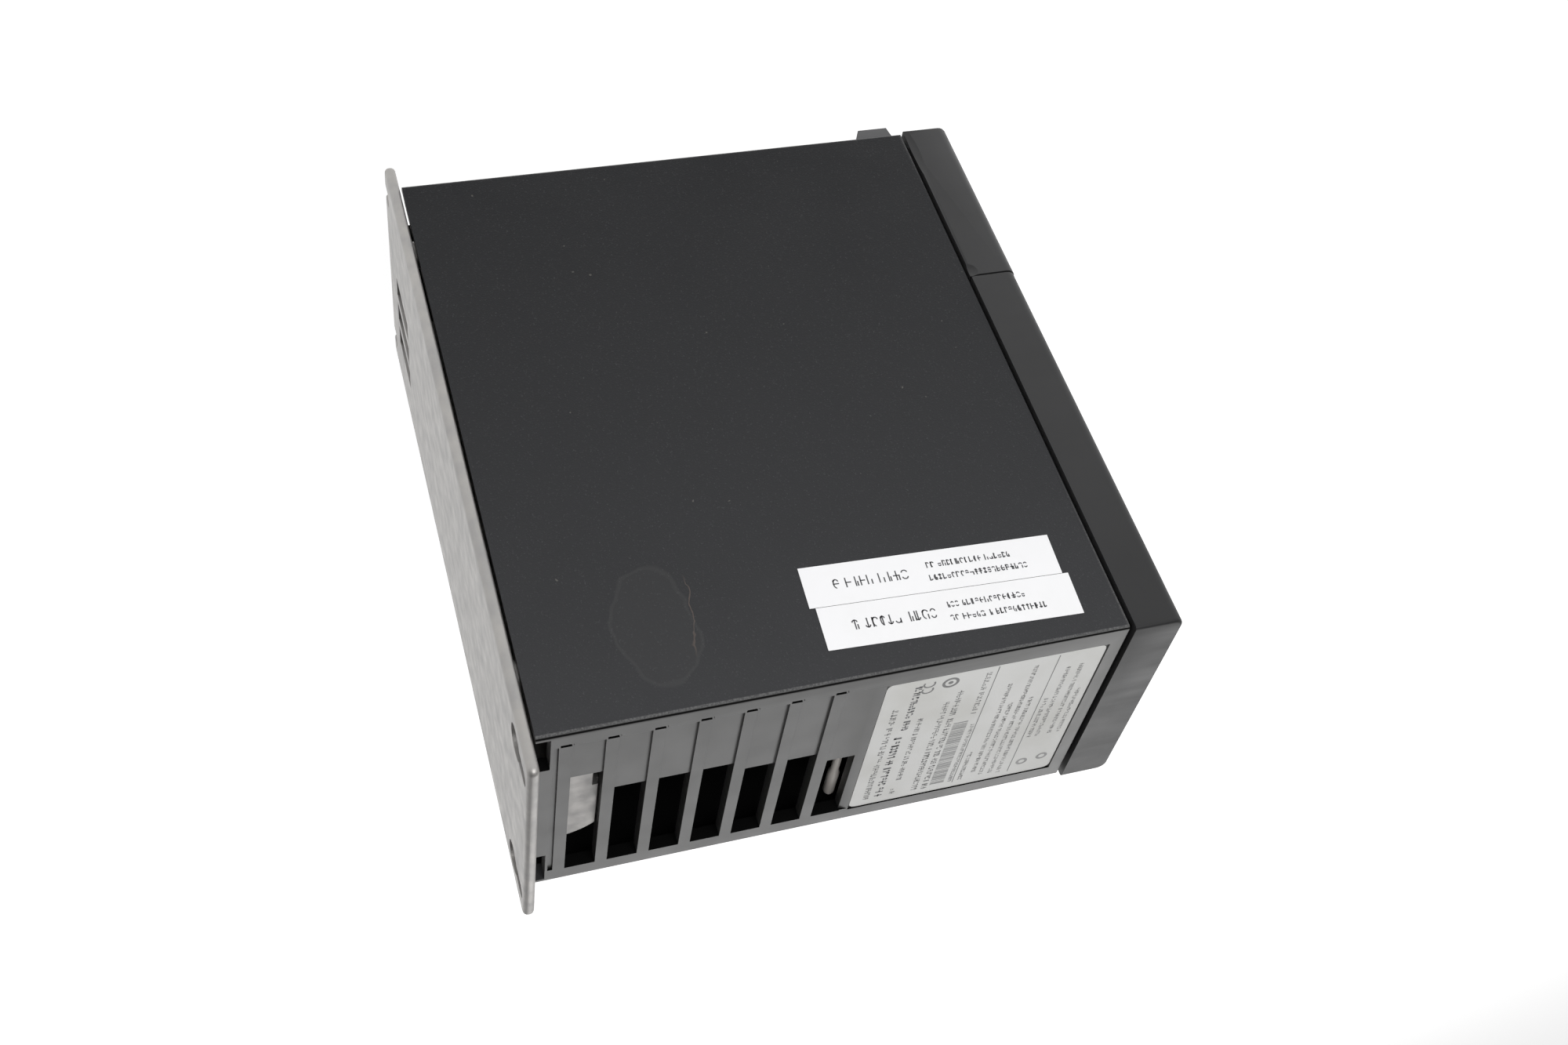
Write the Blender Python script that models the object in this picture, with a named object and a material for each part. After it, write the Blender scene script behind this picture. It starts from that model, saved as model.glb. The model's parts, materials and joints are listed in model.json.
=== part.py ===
"""Compact panel-mounted motor drive, built as the assembly it is.

Frame: the origin is the centre of the back mounting face, +Z is up, and the front faces -Y.
Lengths are metres. "Depth" is the distance forward of the mounting face, so y = -depth.
"""

from math import asin, cos, pi, radians, sin

import bmesh
import bpy
from mathutils import Matrix, Vector

MM = 0.001

# ---- driving dimensions -------------------------------------------------------------------
PLATE_WIDTH = 77 * MM
PLATE_HEIGHT = 200 * MM
PLATE_THICK = 3 * MM
HOLE_SPACING_X = 60 * MM
HOLE_SPACING_Z = 191 * MM
SCREW_HOLE_RADIUS = 2.6 * MM
KEYHOLE_ENTRY_RADIUS = 4.8 * MM
KEYHOLE_ENTRY_Z = 86.5 * MM
HOLE_CUT = 12 * MM
PLATE_CORNER = 2 * MM
PLATE_END_ROUND = 1.3 * MM
BACK_POCKET_XS = [-21 * MM, -10.5 * MM, 0]
BACK_POCKET_Z = (-86 * MM, -67 * MM)

BODY_HALF_WIDTH = 38.3 * MM
BODY_TOP = 91.4 * MM
BODY_BOTTOM = -91.4 * MM
BODY_BACK = 3.6 * MM
BODY_FRONT = 154.3 * MM
WALL = 2.2 * MM
END_WALL = 3.6 * MM
EDGE_RADIUS = 1.2 * MM
FRONT_CHAMFER = 1.2 * MM

COVER_HALF_WIDTH = 38.5 * MM
COVER_BACK = 155.6 * MM
COVER_FRONT = 169.4 * MM
TERMINAL_COVER_PROUD = 0.3 * MM
COVER_TOP = 92.3 * MM
COVER_BOTTOM = -92.3 * MM
COVER_SPLIT = -30.5 * MM
SPLIT_GAP = 0.6 * MM
COVER_CORNER = 3 * MM
COVER_EDGE = 0.9 * MM

RIB_PITCH = 11.27 * MM
RIB_WIDTH = 3.2 * MM
RIB_COUNT = 7
FIRST_RIB = 9.2 * MM
RECESS_DEPTH = 0.7 * MM
RECESS_MARGIN = 1.3 * MM
RECESS_X = (-31.9 * MM, 32.2 * MM)
RIB_END_NOTCH = 0.9 * MM
SLOT_LOW_X = -32.3 * MM
SLOT_HIGH_X = [15.5 * MM, 6.1 * MM, 6.1 * MM, 6.1 * MM, 2 * MM, 2 * MM, -2.8 * MM]
SCREW_NOTCH_X = (22.6 * MM, 36.4 * MM)
SCREW_NOTCH_DEPTH = 7.2 * MM
LABEL_X = (-32.4 * MM, 31.2 * MM)
LABEL_DEPTH = (90.9 * MM, 150.3 * MM)
LABEL_RECESS = 0.5 * MM
TAG_TILT = radians(2.2)

FIT = 0.3 * MM  # clearance that touching pieces keep
BODY_SCREW_X = 32 * MM
BODY_SCREW_Z = 70 * MM
PAD_FRONT = 9 * MM
BOSS_FRONT = 22 * MM
CAST_BOSS_CENTRE = (-1.7 * MM, 9 * MM)
CAST_BOSS_RADIUS = 16 * MM
CAST_BOSS_RIGHT = 14 * MM
CAST_BOSS_STEP = (6.7 * MM, 18.6 * MM)
CAST_BOSS_DEPTH = (2 * MM, 22 * MM)
CAST_BOSS_FOOT = 62 * MM
CAST_BOSS_SUNK = 2.1 * MM

WEB = (8 * MM, 13 * MM)
FIN_THICK = 1.8 * MM
FIN_REACH = -34 * MM
FIN_SPAN_Z = (-62 * MM, 58 * MM)
MODULE_SCREW_DEPTH = 50 * MM
MODULE_SCREW_ZS = (-32 * MM, 22 * MM)

BOARD_X = (25.6 * MM, 27.2 * MM)
BOARD_SCREWS = [(100 * MM, 80 * MM), (100 * MM, -68 * MM)]

FRAME_BACK = 150.6 * MM
FRAME_FLOOR = 152.4 * MM
FRAME_Z = (-87.4 * MM, 87.4 * MM)
FRAME_WALL = 1.8 * MM
NECK_FRONT = 160 * MM
NECK_HALF_WIDTH = 35.7 * MM
CONTROL_BOARD = (154.4 * MM, 156 * MM)
COMPONENT_BASE = CONTROL_BOARD[1] + FIT

PLUG_CENTRES = [-16 * MM, 16 * MM]
PLUG_HALF_WIDTH = 15.2 * MM
PLUG_DEPTH = (139.6 * MM, 149.4 * MM)
PLUG_DOOR_X = (-32.4 * MM, 32.4 * MM)
HOOD_DEPTH = (142.4 * MM, 152.8 * MM)
HOOD_SIDE = 34.4 * MM
HOOD_TOP = BODY_BOTTOM - 0.4 * MM
HOOD_BOTTOM = -98.4 * MM
HOOD_LIP = -94.8 * MM
PLUG_POLES = 4
POLE_PITCH = 7.62 * MM

WINDOW_X = (-24 * MM, 24 * MM)
WINDOW_Z = (56 * MM, 74 * MM)
LED_Z = 47 * MM
LED_XS = [-18 * MM, 0, 18 * MM]
LED_RADIUS = 1.7 * MM
KEY_XS = [-15 * MM, 15 * MM]
KEY_ZS = [30 * MM, 12 * MM, -6 * MM]
KEY_SIZE = (20 * MM, 9 * MM)
KEY_PROUD = 0.6 * MM
KEY_TRAVEL = 0.8 * MM
KEY_BACK = COVER_FRONT - 4.1 * MM
KEY_STEP = COVER_FRONT - 3.2 * MM
KEYPAD_BOARD = (158.2 * MM, 159.8 * MM)

FAN_CENTRE = (-14.2 * MM, 34.5 * MM)
FAN_SIDE = 40 * MM
FAN_Z = (-87.4 * MM, -77.4 * MM)
FAN_BORE = 18.6 * MM

CAPACITORS = [(107 * MM, 62 * MM), (107 * MM, 36 * MM), (134 * MM, 49 * MM)]
CAPACITOR_RADIUS = 11 * MM

TERMINAL_PITCH = 5.08 * MM
TERMINAL_FACE = 164.6 * MM
CONTACT_PITCH = 2.76 * MM

DIP_X = (18.5 * MM, 30.5 * MM)
DIP_Z = (-49 * MM, -41 * MM)
DIP_COUNT = 4
DIP_PITCH = 2.54 * MM


# ---- modelling tools ----------------------------------------------------------------------
def clear_scene():
    for item in list(bpy.data.objects):
        bpy.data.objects.remove(item)


def material(name, colour, roughness=0.5, metallic=0.0, alpha=1.0):
    made = bpy.data.materials.new(name)
    made.use_nodes = True
    shader = made.node_tree.nodes["Principled BSDF"]
    shader.inputs["Base Color"].default_value = (*colour, 1.0)
    shader.inputs["Roughness"].default_value = roughness
    shader.inputs["Metallic"].default_value = metallic
    shader.inputs["Alpha"].default_value = alpha
    return made


def place(name, shape, finish=None):
    """Makes an object of the bmesh. With no finish it is a helper that isn't part of the model."""
    bmesh.ops.recalc_face_normals(shape, faces=shape.faces)
    mesh = bpy.data.meshes.new(name)
    shape.to_mesh(mesh)
    shape.free()
    mesh.shade_smooth()
    mesh.set_sharp_from_angle(angle=radians(35))
    made = bpy.data.objects.new(name, mesh)
    bpy.context.scene.collection.objects.link(made)
    if finish is None:
        made.hide_render = True
        made.display_type = "WIRE"
    else:
        mesh.materials.append(finish)
    return made


def add_block(shape, x, depth, z):
    """Adds a box to the bmesh from its ranges across, forward and up, and returns its vertices."""
    low = Vector((x[0], -depth[1], z[0]))
    high = Vector((x[1], -depth[0], z[1]))
    size = high - low
    matrix = Matrix.Translation((low + high) / 2) @ Matrix.Diagonal((*size, 1))
    return bmesh.ops.create_cube(shape, size=1, matrix=matrix)["verts"]


def soften(shape, edges, offset, segments):
    """Rounds edges of a bmesh, or chamfers them when there is one segment."""
    bmesh.ops.bevel(shape, geom=edges, offset=offset, segments=segments, profile=0.5, affect="EDGES")


def block(name, x, depth, z, finish=None, rounding=0.0, along="y"):
    """A box whose edges along one axis are rounded."""
    shape = bmesh.new()
    add_block(shape, x, depth, z)
    if rounding:
        axis = "xyz".index(along)
        chosen = []
        for edge in shape.edges:
            run = edge.verts[1].co - edge.verts[0].co
            if abs(run[axis]) > 0.99 * run.length:
                chosen.append(edge)
        soften(shape, chosen, rounding, 3)
    return place(name, shape, finish)


def blocks(name, ranges, finish=None):
    """Several separate boxes in one mesh, used as one cutter or one set of ribs."""
    shape = bmesh.new()
    for x, depth, z in ranges:
        add_block(shape, x, depth, z)
    return place(name, shape, finish)


AXIS_TURN = {
    "x": Matrix.Rotation(pi / 2, 4, "Y"),
    "y": Matrix.Rotation(-pi / 2, 4, "X"),
    "z": Matrix.Identity(4),
}


def add_rod(shape, centre, radii, length, axis, sides):
    """Adds a cylinder or cone with its middle at centre. radii are at its low and high ends along +axis."""
    matrix = Matrix.Translation(centre) @ AXIS_TURN[axis]
    bmesh.ops.create_cone(
        shape,
        cap_ends=True,
        segments=sides,
        radius1=radii[0],
        radius2=radii[1],
        depth=length,
        matrix=matrix,
    )


def rod(name, centre, radius, length, axis, finish=None, sides=32, end_radius=None):
    shape = bmesh.new()
    add_rod(shape, centre, (radius, radius if end_radius is None else end_radius), length, axis, sides)
    return place(name, shape, finish)


def rods(name, centres, radius, length, axis, finish=None, sides=24):
    shape = bmesh.new()
    for centre in centres:
        add_rod(shape, centre, (radius, radius), length, axis, sides)
    return place(name, shape, finish)


def prism(name, outline, span, finish=None, axis="y"):
    """Extrudes a closed outline along an axis.

    The outline's points are (x, z) along "y", (x, depth) along "z" and (depth, z) along "x".
    """
    shape = bmesh.new()
    length = span[1] - span[0]
    if axis == "y":
        corners = [shape.verts.new((x, -span[0], z)) for x, z in outline]
        travel = Vector((0, -length, 0))
    elif axis == "z":
        corners = [shape.verts.new((x, -depth, span[0])) for x, depth in outline]
        travel = Vector((0, 0, length))
    else:
        corners = [shape.verts.new((span[0], -depth, z)) for depth, z in outline]
        travel = Vector((length, 0, 0))
    base = shape.faces.new(corners)
    top = bmesh.ops.extrude_face_region(shape, geom=[base])["geom"]
    moved = [item for item in top if isinstance(item, bmesh.types.BMVert)]
    bmesh.ops.translate(shape, vec=travel, verts=moved)
    return place(name, shape, finish)


def combine(part, helper, operation):
    step = part.modifiers.new(helper.name, "BOOLEAN")
    step.operation = operation
    step.solver = "EXACT"
    step.object = helper


def cut(part, *cutters):
    for cutter in cutters:
        combine(part, cutter, "DIFFERENCE")


def add(part, *pieces):
    for piece in pieces:
        combine(part, piece, "UNION")


def rounded_outline(half_width, low, high, radius, steps=4):
    """Corner points of a rounded rectangle, as (x, z)."""
    points = []
    corners = [
        (half_width - radius, high - radius, 0),
        (radius - half_width, high - radius, 90),
        (radius - half_width, low + radius, 180),
        (half_width - radius, low + radius, 270),
    ]
    for x, z, start in corners:
        for step in range(steps + 1):
            angle = radians(start + 90 * step / steps)
            points.append((x + radius * cos(angle), z + radius * sin(angle)))
    return points


def at(x, depth, z):
    return Vector((x, -depth, z))


# ---- finishes -----------------------------------------------------------------------------
clear_scene()
CAST_ALUMINIUM = material("cast_aluminium", (0.62, 0.61, 0.60), 0.45, 1.0)
BODY_PLASTIC = material("body_plastic", (0.035, 0.036, 0.038), 0.55)
COVER_PLASTIC = material("cover_plastic", (0.045, 0.045, 0.046), 0.45)
INNER_PLASTIC = material("inner_plastic", (0.02, 0.02, 0.021), 0.6)
KEY_PLASTIC = material("key_plastic", (0.35, 0.35, 0.36), 0.5)
WINDOW_PLASTIC = material("window_plastic", (0.05, 0.01, 0.01), 0.1, 0.0, 0.6)
LABEL_WHITE = material("label_white", (0.8, 0.8, 0.79), 0.5)
BOARD_GREEN = material("board_green", (0.02, 0.16, 0.06), 0.45)
PLUG_PLASTIC = material("plug_plastic", (0.08, 0.08, 0.083), 0.5)
CONNECTOR_GREEN = material("connector_green", (0.03, 0.25, 0.10), 0.5)
COMPONENT_BLACK = material("component_black", (0.02, 0.02, 0.02), 0.4)
SLEEVE_BLUE = material("sleeve_blue", (0.02, 0.05, 0.16), 0.35)
FERRITE_COPPER = material("ferrite_copper", (0.45, 0.18, 0.08), 0.35, 0.6)
STEEL = material("steel", (0.55, 0.55, 0.56), 0.3, 1.0)
RUBBER = material("rubber", (0.12, 0.12, 0.13), 0.8)
PAD_GREY = material("pad_grey", (0.5, 0.52, 0.5), 0.8)
NYLON = material("nylon", (0.62, 0.58, 0.54), 0.5)
LED_COLOURS = {
    "yellow": material("led_yellow", (0.8, 0.6, 0.05), 0.2),
    "red": material("led_red", (0.7, 0.03, 0.02), 0.2),
    "green": material("led_green", (0.05, 0.6, 0.1), 0.2),
}


# ---- heatsink -----------------------------------------------------------------------------
def fin_depths():
    """Fins stand behind the ribs of the vents, so that each slot looks into an open channel."""
    return [FIRST_RIB + RIB_WIDTH / 2 + RIB_PITCH * index for index in range(1, RIB_COUNT)]


def cast_boss(name, depths, heights):
    """The boss at the top of the casting: round on its left, straight on its right, with a stepped corner."""
    centre_x, centre_depth = CAST_BOSS_CENTRE
    step_x, step_depth = CAST_BOSS_STEP
    near, far = depths
    points = [
        (CAST_BOSS_RIGHT, near),
        (CAST_BOSS_RIGHT, step_depth),
        (step_x, step_depth),
        (step_x, far),
    ]
    first = asin((far - centre_depth) / CAST_BOSS_RADIUS)
    last = asin((near - centre_depth) / CAST_BOSS_RADIUS)
    steps = 10
    for step in range(steps + 1):
        angle = first + (last - first) * step / steps
        x = centre_x - CAST_BOSS_RADIUS * cos(angle)
        points.append((x, centre_depth + CAST_BOSS_RADIUS * sin(angle)))
    return prism(name, points, heights, axis="z")


def keyholes():
    """Upper holes: a screw head enters the round part, and the drive drops until it sits in the slot."""
    side = HOLE_SPACING_X / 2
    upper = HOLE_SPACING_Z / 2
    entries = [at(x, 0, KEYHOLE_ENTRY_Z) for x in (-side, side)]
    seats = [at(x, 0, upper) for x in (-side, side)]
    slots = []
    for x in (-side, side):
        span = (x - SCREW_HOLE_RADIUS, x + SCREW_HOLE_RADIUS)
        slots.append((span, (-HOLE_CUT, HOLE_CUT), (KEYHOLE_ENTRY_Z, upper)))
    return [
        rods("keyhole_entries", entries, KEYHOLE_ENTRY_RADIUS, 2 * HOLE_CUT, "y", sides=28),
        rods("keyhole_seats", seats, SCREW_HOLE_RADIUS, 2 * HOLE_CUT, "y", sides=20),
        blocks("keyhole_slots", slots),
    ]


def open_slots():
    """Lower holes: slots open at the bottom edge, so that loosened screws let the drive lift out."""
    side = HOLE_SPACING_X / 2
    lower = -HOLE_SPACING_Z / 2
    ends = []
    for x in (-side, side):
        span = (x - SCREW_HOLE_RADIUS, x + SCREW_HOLE_RADIUS)
        ends.append((span, (-HOLE_CUT, HOLE_CUT), (-PLATE_HEIGHT / 2 - 2 * MM, lower)))
    seats = [at(x, 0, lower) for x in (-side, side)]
    return [
        rods("slot_seats", seats, SCREW_HOLE_RADIUS, 2 * HOLE_CUT, "y", sides=20),
        blocks("slot_mouths", ends),
    ]


def screw_places(depth):
    places = []
    for x in (-BODY_SCREW_X, BODY_SCREW_X):
        for z in (-BODY_SCREW_Z, BODY_SCREW_Z):
            places.append(at(x, depth, z))
    return places


def build_plate():
    """The back plate. Its long sides are sharp and its two ends are rounded over."""
    half_height = PLATE_HEIGHT / 2
    outline = rounded_outline(PLATE_WIDTH / 2, -half_height, half_height, PLATE_CORNER)
    shape = bmesh.new()
    base = shape.faces.new([shape.verts.new((x, 0, z)) for x, z in outline])
    top = bmesh.ops.extrude_face_region(shape, geom=[base])["geom"]
    moved = [item for item in top if isinstance(item, bmesh.types.BMVert)]
    bmesh.ops.translate(shape, vec=(0, -PLATE_THICK, 0), verts=moved)
    straight_end = half_height - PLATE_CORNER - 0.01 * MM
    rims = []
    for edge in shape.edges:
        at_end = all(abs(vert.co.z) > straight_end for vert in edge.verts)
        level = abs(edge.verts[0].co.y - edge.verts[1].co.y) < 0.01 * MM
        if at_end and level:
            rims.append(edge)
    soften(shape, rims, PLATE_END_ROUND, 4)
    return place("heatsink", shape, CAST_ALUMINIUM)


def build_heatsink():
    sink = build_plate()
    inside_plate = PLATE_THICK - 0.6 * MM
    last_fin = fin_depths()[-1] + FIN_THICK / 2
    add(sink, blocks("sink_web", [(WEB, (inside_plate, last_fin), FIN_SPAN_Z)]))
    fins = []
    for depth in fin_depths():
        thickness = (depth - FIN_THICK / 2, depth + FIN_THICK / 2)
        fins.append(((FIN_REACH, WEB[0] + 1 * MM), thickness, FIN_SPAN_Z))
    add(sink, blocks("sink_fins", fins))
    ceiling = BODY_TOP - END_WALL - FIT
    add(sink, cast_boss("cast_boss", CAST_BOSS_DEPTH, (CAST_BOSS_FOOT, ceiling)))
    first_slot = (FIRST_RIB + RIB_WIDTH + 0.4 * MM, FIRST_RIB + RIB_PITCH - 0.4 * MM)
    crown = (ceiling - 2 * MM, BODY_TOP - CAST_BOSS_SUNK)
    add(sink, cast_boss("boss_crown", first_slot, crown))
    pad_middle = (inside_plate + PAD_FRONT) / 2
    add(sink, rods("screw_pads", screw_places(pad_middle), 3.8 * MM, PAD_FRONT - inside_plate, "y"))
    thread_middle = PAD_FRONT - 2.5 * MM
    cut(sink, rods("screw_threads", screw_places(thread_middle), 2 * MM, 10 * MM, "y", sides=16))
    cut(sink, *keyholes(), *open_slots())
    pockets = [((x, x + 7.4 * MM), (-1 * MM, 1.3 * MM), BACK_POCKET_Z) for x in BACK_POCKET_XS]
    cut(sink, blocks("back_pockets", pockets))
    module_holes = [at(WEB[1], MODULE_SCREW_DEPTH, z) for z in MODULE_SCREW_ZS]
    cut(sink, rods("module_screw_holes", module_holes, 2.3 * MM, 8 * MM, "x", sides=16))
    return sink


# ---- housing ------------------------------------------------------------------------------
def vent_slots(z):
    """Open windows between the ribs of one end wall."""
    slots = []
    for index, high in enumerate(SLOT_HIGH_X):
        start = FIRST_RIB + RIB_WIDTH + RIB_PITCH * index
        slots.append(((SLOT_LOW_X, high), (start, start + RIB_PITCH - RIB_WIDTH), z))
    return slots


def recess_gaps(z):
    """The sunk strips between the ribs, which leave the ribs flush with the wall around them."""
    gaps = [(RECESS_X, (FIRST_RIB - RECESS_MARGIN, FIRST_RIB), z)]
    for index in range(RIB_COUNT):
        start = FIRST_RIB + RIB_WIDTH + RIB_PITCH * index
        gaps.append((RECESS_X, (start, start + RIB_PITCH - RIB_WIDTH), z))
    return gaps


def rib_end_notches(z):
    notches = []
    for index in range(RIB_COUNT):
        start = FIRST_RIB + RIB_PITCH * index
        span = (RECESS_X[1] - 0.1 * MM, RECESS_X[1] + RIB_END_NOTCH)
        notches.append((span, (start + 0.4 * MM, start + RIB_WIDTH + 0.4 * MM), z))
    return notches


def label_ramp():
    """The sloping end of the recess, next to the label."""
    last_gap_end = FIRST_RIB + RIB_PITCH * RIB_COUNT
    floor = BODY_TOP - RECESS_DEPTH
    outline = [
        (last_gap_end - 1 * MM, floor),
        (last_gap_end, floor),
        (LABEL_DEPTH[0] - 0.3 * MM, BODY_TOP + 0.1 * MM),
        (last_gap_end - 1 * MM, BODY_TOP + 0.1 * MM),
    ]
    return prism("label_ramp", outline, RECESS_X, axis="x")


def build_housing_block():
    """The outer body: long edges rounded, and a chamfer along the front edge of each side."""
    shape = bmesh.new()
    x = (-BODY_HALF_WIDTH, BODY_HALF_WIDTH)
    add_block(shape, x, (BODY_BACK, BODY_FRONT), (BODY_BOTTOM, BODY_TOP))
    long_edges = []
    for edge in shape.edges:
        if abs(edge.verts[1].co.y - edge.verts[0].co.y) > 1 * MM:
            long_edges.append(edge)
    soften(shape, long_edges, EDGE_RADIUS, 4)
    front = []
    for edge in shape.edges:
        at_front = all(vert.co.y < -BODY_FRONT + 0.01 * MM for vert in edge.verts)
        at_side = all(abs(vert.co.x) > BODY_HALF_WIDTH - 0.01 * MM for vert in edge.verts)
        if at_front and at_side:
            front.append(edge)
    soften(shape, front, FRONT_CHAMFER, 1)
    return place("housing", shape, BODY_PLASTIC)


def build_housing():
    shell = build_housing_block()
    inner_x = (-BODY_HALF_WIDTH + WALL, BODY_HALF_WIDTH - WALL)
    inside = (BODY_BOTTOM + END_WALL, BODY_TOP - END_WALL)
    cut(shell, blocks("housing_cavity", [(inner_x, (-5 * MM, 170 * MM), inside)]))
    for end, wall, outwards in (("top", BODY_TOP, 1), ("bottom", BODY_BOTTOM, -1)):
        deep = sorted((wall - outwards * (END_WALL + 1 * MM), wall + outwards * 1 * MM))
        shallow = sorted((wall - outwards * RECESS_DEPTH, wall + outwards * 1 * MM))
        cut(shell, blocks(end + "_recess", recess_gaps(shallow)))
        cut(shell, blocks(end + "_rib_notches", rib_end_notches(shallow)))
        cut(shell, blocks(end + "_vents", vent_slots(deep)))
        near, far = SCREW_NOTCH_X
        notches = [(x, (0, SCREW_NOTCH_DEPTH), deep) for x in ((-far, -near), (near, far))]
        cut(shell, blocks(end + "_screw_notches", notches))
    cut(shell, label_ramp())
    label_x = (LABEL_X[0] - FIT, LABEL_X[1] + FIT)
    label_depth = (LABEL_DEPTH[0] - FIT, LABEL_DEPTH[1] + FIT)
    label_z = (BODY_TOP - LABEL_RECESS, BODY_TOP + 1 * MM)
    cut(shell, blocks("label_recess", [(label_x, label_depth, label_z)]))
    door_z = (BODY_BOTTOM - 1 * MM, BODY_BOTTOM + END_WALL + 1 * MM)
    door_depth = (PLUG_DEPTH[0] - 0.6 * MM, PLUG_DEPTH[1] + 0.8 * MM)
    cut(shell, blocks("plug_opening", [(PLUG_DOOR_X, door_depth, door_z)]))
    add_screw_bosses(shell)
    return shell


def add_screw_bosses(shell):
    """Bosses that the body screws pull against the casting's pads, and posts for the power board."""
    start = PAD_FRONT + FIT
    length = BOSS_FRONT - start
    middle = start + length / 2
    add(shell, rods("body_screw_bosses", screw_places(middle), 4.4 * MM, length, "y"))
    cut(shell, rods("body_screw_bores", screw_places(middle), 2.3 * MM, length + 4 * MM, "y"))
    post_start = BOARD_X[1] + FIT
    post_length = BODY_HALF_WIDTH - WALL + 0.6 * MM - post_start
    post_middle = post_start + post_length / 2
    posts = [at(post_middle, depth, z) for depth, z in BOARD_SCREWS]
    add(shell, rods("board_posts", posts, 3.6 * MM, post_length, "x"))
    drilled = [at(post_start, depth, z) for depth, z in BOARD_SCREWS]
    cut(shell, rods("board_post_bores", drilled, 1.8 * MM, 11 * MM, "x", sides=16))


# ---- front frame and covers ---------------------------------------------------------------
def build_front_frame():
    """The tray behind the covers, with a window for the board link and standoffs for the control board."""
    low, high = FRAME_Z
    inner_x = (FRAME_WALL - NECK_HALF_WIDTH, NECK_HALF_WIDTH - FRAME_WALL)
    x = (-NECK_HALF_WIDTH, NECK_HALF_WIDTH)
    frame = block("front_frame", x, (FRAME_BACK, NECK_FRONT), FRAME_Z, INNER_PLASTIC, 1.2 * MM)
    tray = (inner_x, (FRAME_FLOOR, 180 * MM), (low + FRAME_WALL, high - FRAME_WALL))
    link_window = ((-16 * MM, 16 * MM), (140 * MM, 154 * MM), (-22 * MM, -8 * MM))
    cable_notch = ((-20 * MM, 20 * MM), (156.5 * MM, 170 * MM), (-92 * MM, -84 * MM))
    cut(frame, blocks("frame_tray", [tray]))
    cut(frame, blocks("board_link_window", [link_window]))
    cut(frame, blocks("frame_cable_notch", [cable_notch]))
    standoffs = []
    for x in (-26 * MM, 26 * MM):
        for z in (-80 * MM, 80 * MM):
            standoffs.append(at(x, FRAME_FLOOR + 0.6 * MM, z))
    add(frame, rods("frame_standoffs", standoffs, 2.2 * MM, 2.2 * MM, "y", sides=16))
    return frame


def cover_shell(name, front, z, cavity_z, outer_end):
    """A front cover: a cap with rounded front corners and a fine edge round its outer end."""
    shape = bmesh.new()
    add_block(shape, (-COVER_HALF_WIDTH, COVER_HALF_WIDTH), (COVER_BACK, front), z)
    corners = []
    for edge in shape.edges:
        upright = abs(edge.verts[1].co.z - edge.verts[0].co.z) > 1 * MM
        if upright and edge.verts[0].co.y < -front + 1 * MM:
            corners.append(edge)
    soften(shape, corners, COVER_CORNER, 5)
    rim = []
    for edge in shape.edges:
        at_end = all(abs(vert.co.z - outer_end) < 0.01 * MM for vert in edge.verts)
        at_back = all(vert.co.y > -COVER_BACK - 0.01 * MM for vert in edge.verts)
        if at_end and not at_back:
            rim.append(edge)
    soften(shape, rim, COVER_EDGE, 3)
    shell = place(name, shape, COVER_PLASTIC)
    inner_x = (-COVER_HALF_WIDTH + WALL, COVER_HALF_WIDTH - WALL)
    cavity = [(inner_x, (COVER_BACK - 2 * MM, COVER_FRONT - WALL), cavity_z)]
    cut(shell, blocks(name + "_cavity", cavity))
    return shell


def build_control_panel():
    low = COVER_SPLIT + SPLIT_GAP / 2
    cavity_z = (low + WALL, COVER_TOP - WALL)
    panel = cover_shell("control_panel", COVER_FRONT, (low, COVER_TOP), cavity_z, COVER_TOP)
    inner_x = (-COVER_HALF_WIDTH + WALL, COVER_HALF_WIDTH - WALL)
    neck = [(inner_x, (COVER_BACK - 2 * MM, NECK_FRONT + 0.4 * MM), (low - 2 * MM, low + WALL + 1 * MM))]
    cut(panel, blocks("panel_neck_gap", neck))
    depth = (COVER_FRONT - 4 * MM, COVER_FRONT + 2 * MM)
    rim = 1.6 * MM
    seat_depth = (COVER_FRONT - 1.9 * MM, COVER_FRONT + 2 * MM)
    grown_x = (WINDOW_X[0] - rim - FIT, WINDOW_X[1] + rim + FIT)
    grown_z = (WINDOW_Z[0] - rim - FIT, WINDOW_Z[1] + rim + FIT)
    cut(panel, blocks("window_opening", [(WINDOW_X, depth, WINDOW_Z)]))
    cut(panel, blocks("window_seat", [(grown_x, seat_depth, grown_z)]))
    leds = [at(x, COVER_FRONT, LED_Z) for x in LED_XS]
    cut(panel, rods("led_holes", leds, LED_RADIUS + FIT, 10 * MM, "y", sides=20))
    half_x, half_z = KEY_SIZE[0] / 2 + FIT, KEY_SIZE[1] / 2 + FIT
    key_holes = []
    for x in KEY_XS:
        for z in KEY_ZS:
            key_holes.append(((x - half_x, x + half_x), depth, (z - half_z, z + half_z)))
    cut(panel, blocks("key_openings", key_holes))
    peg_start = KEYPAD_BOARD[1] + FIT
    peg_length = COVER_FRONT - WALL + 0.4 * MM - peg_start
    pegs = []
    for x in (-31 * MM, 31 * MM):
        for z in (-20 * MM, 80 * MM):
            pegs.append(at(x, peg_start + peg_length / 2, z))
    add(panel, rods("panel_pegs", pegs, 2 * MM, peg_length, "y", sides=16))
    return panel


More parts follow.
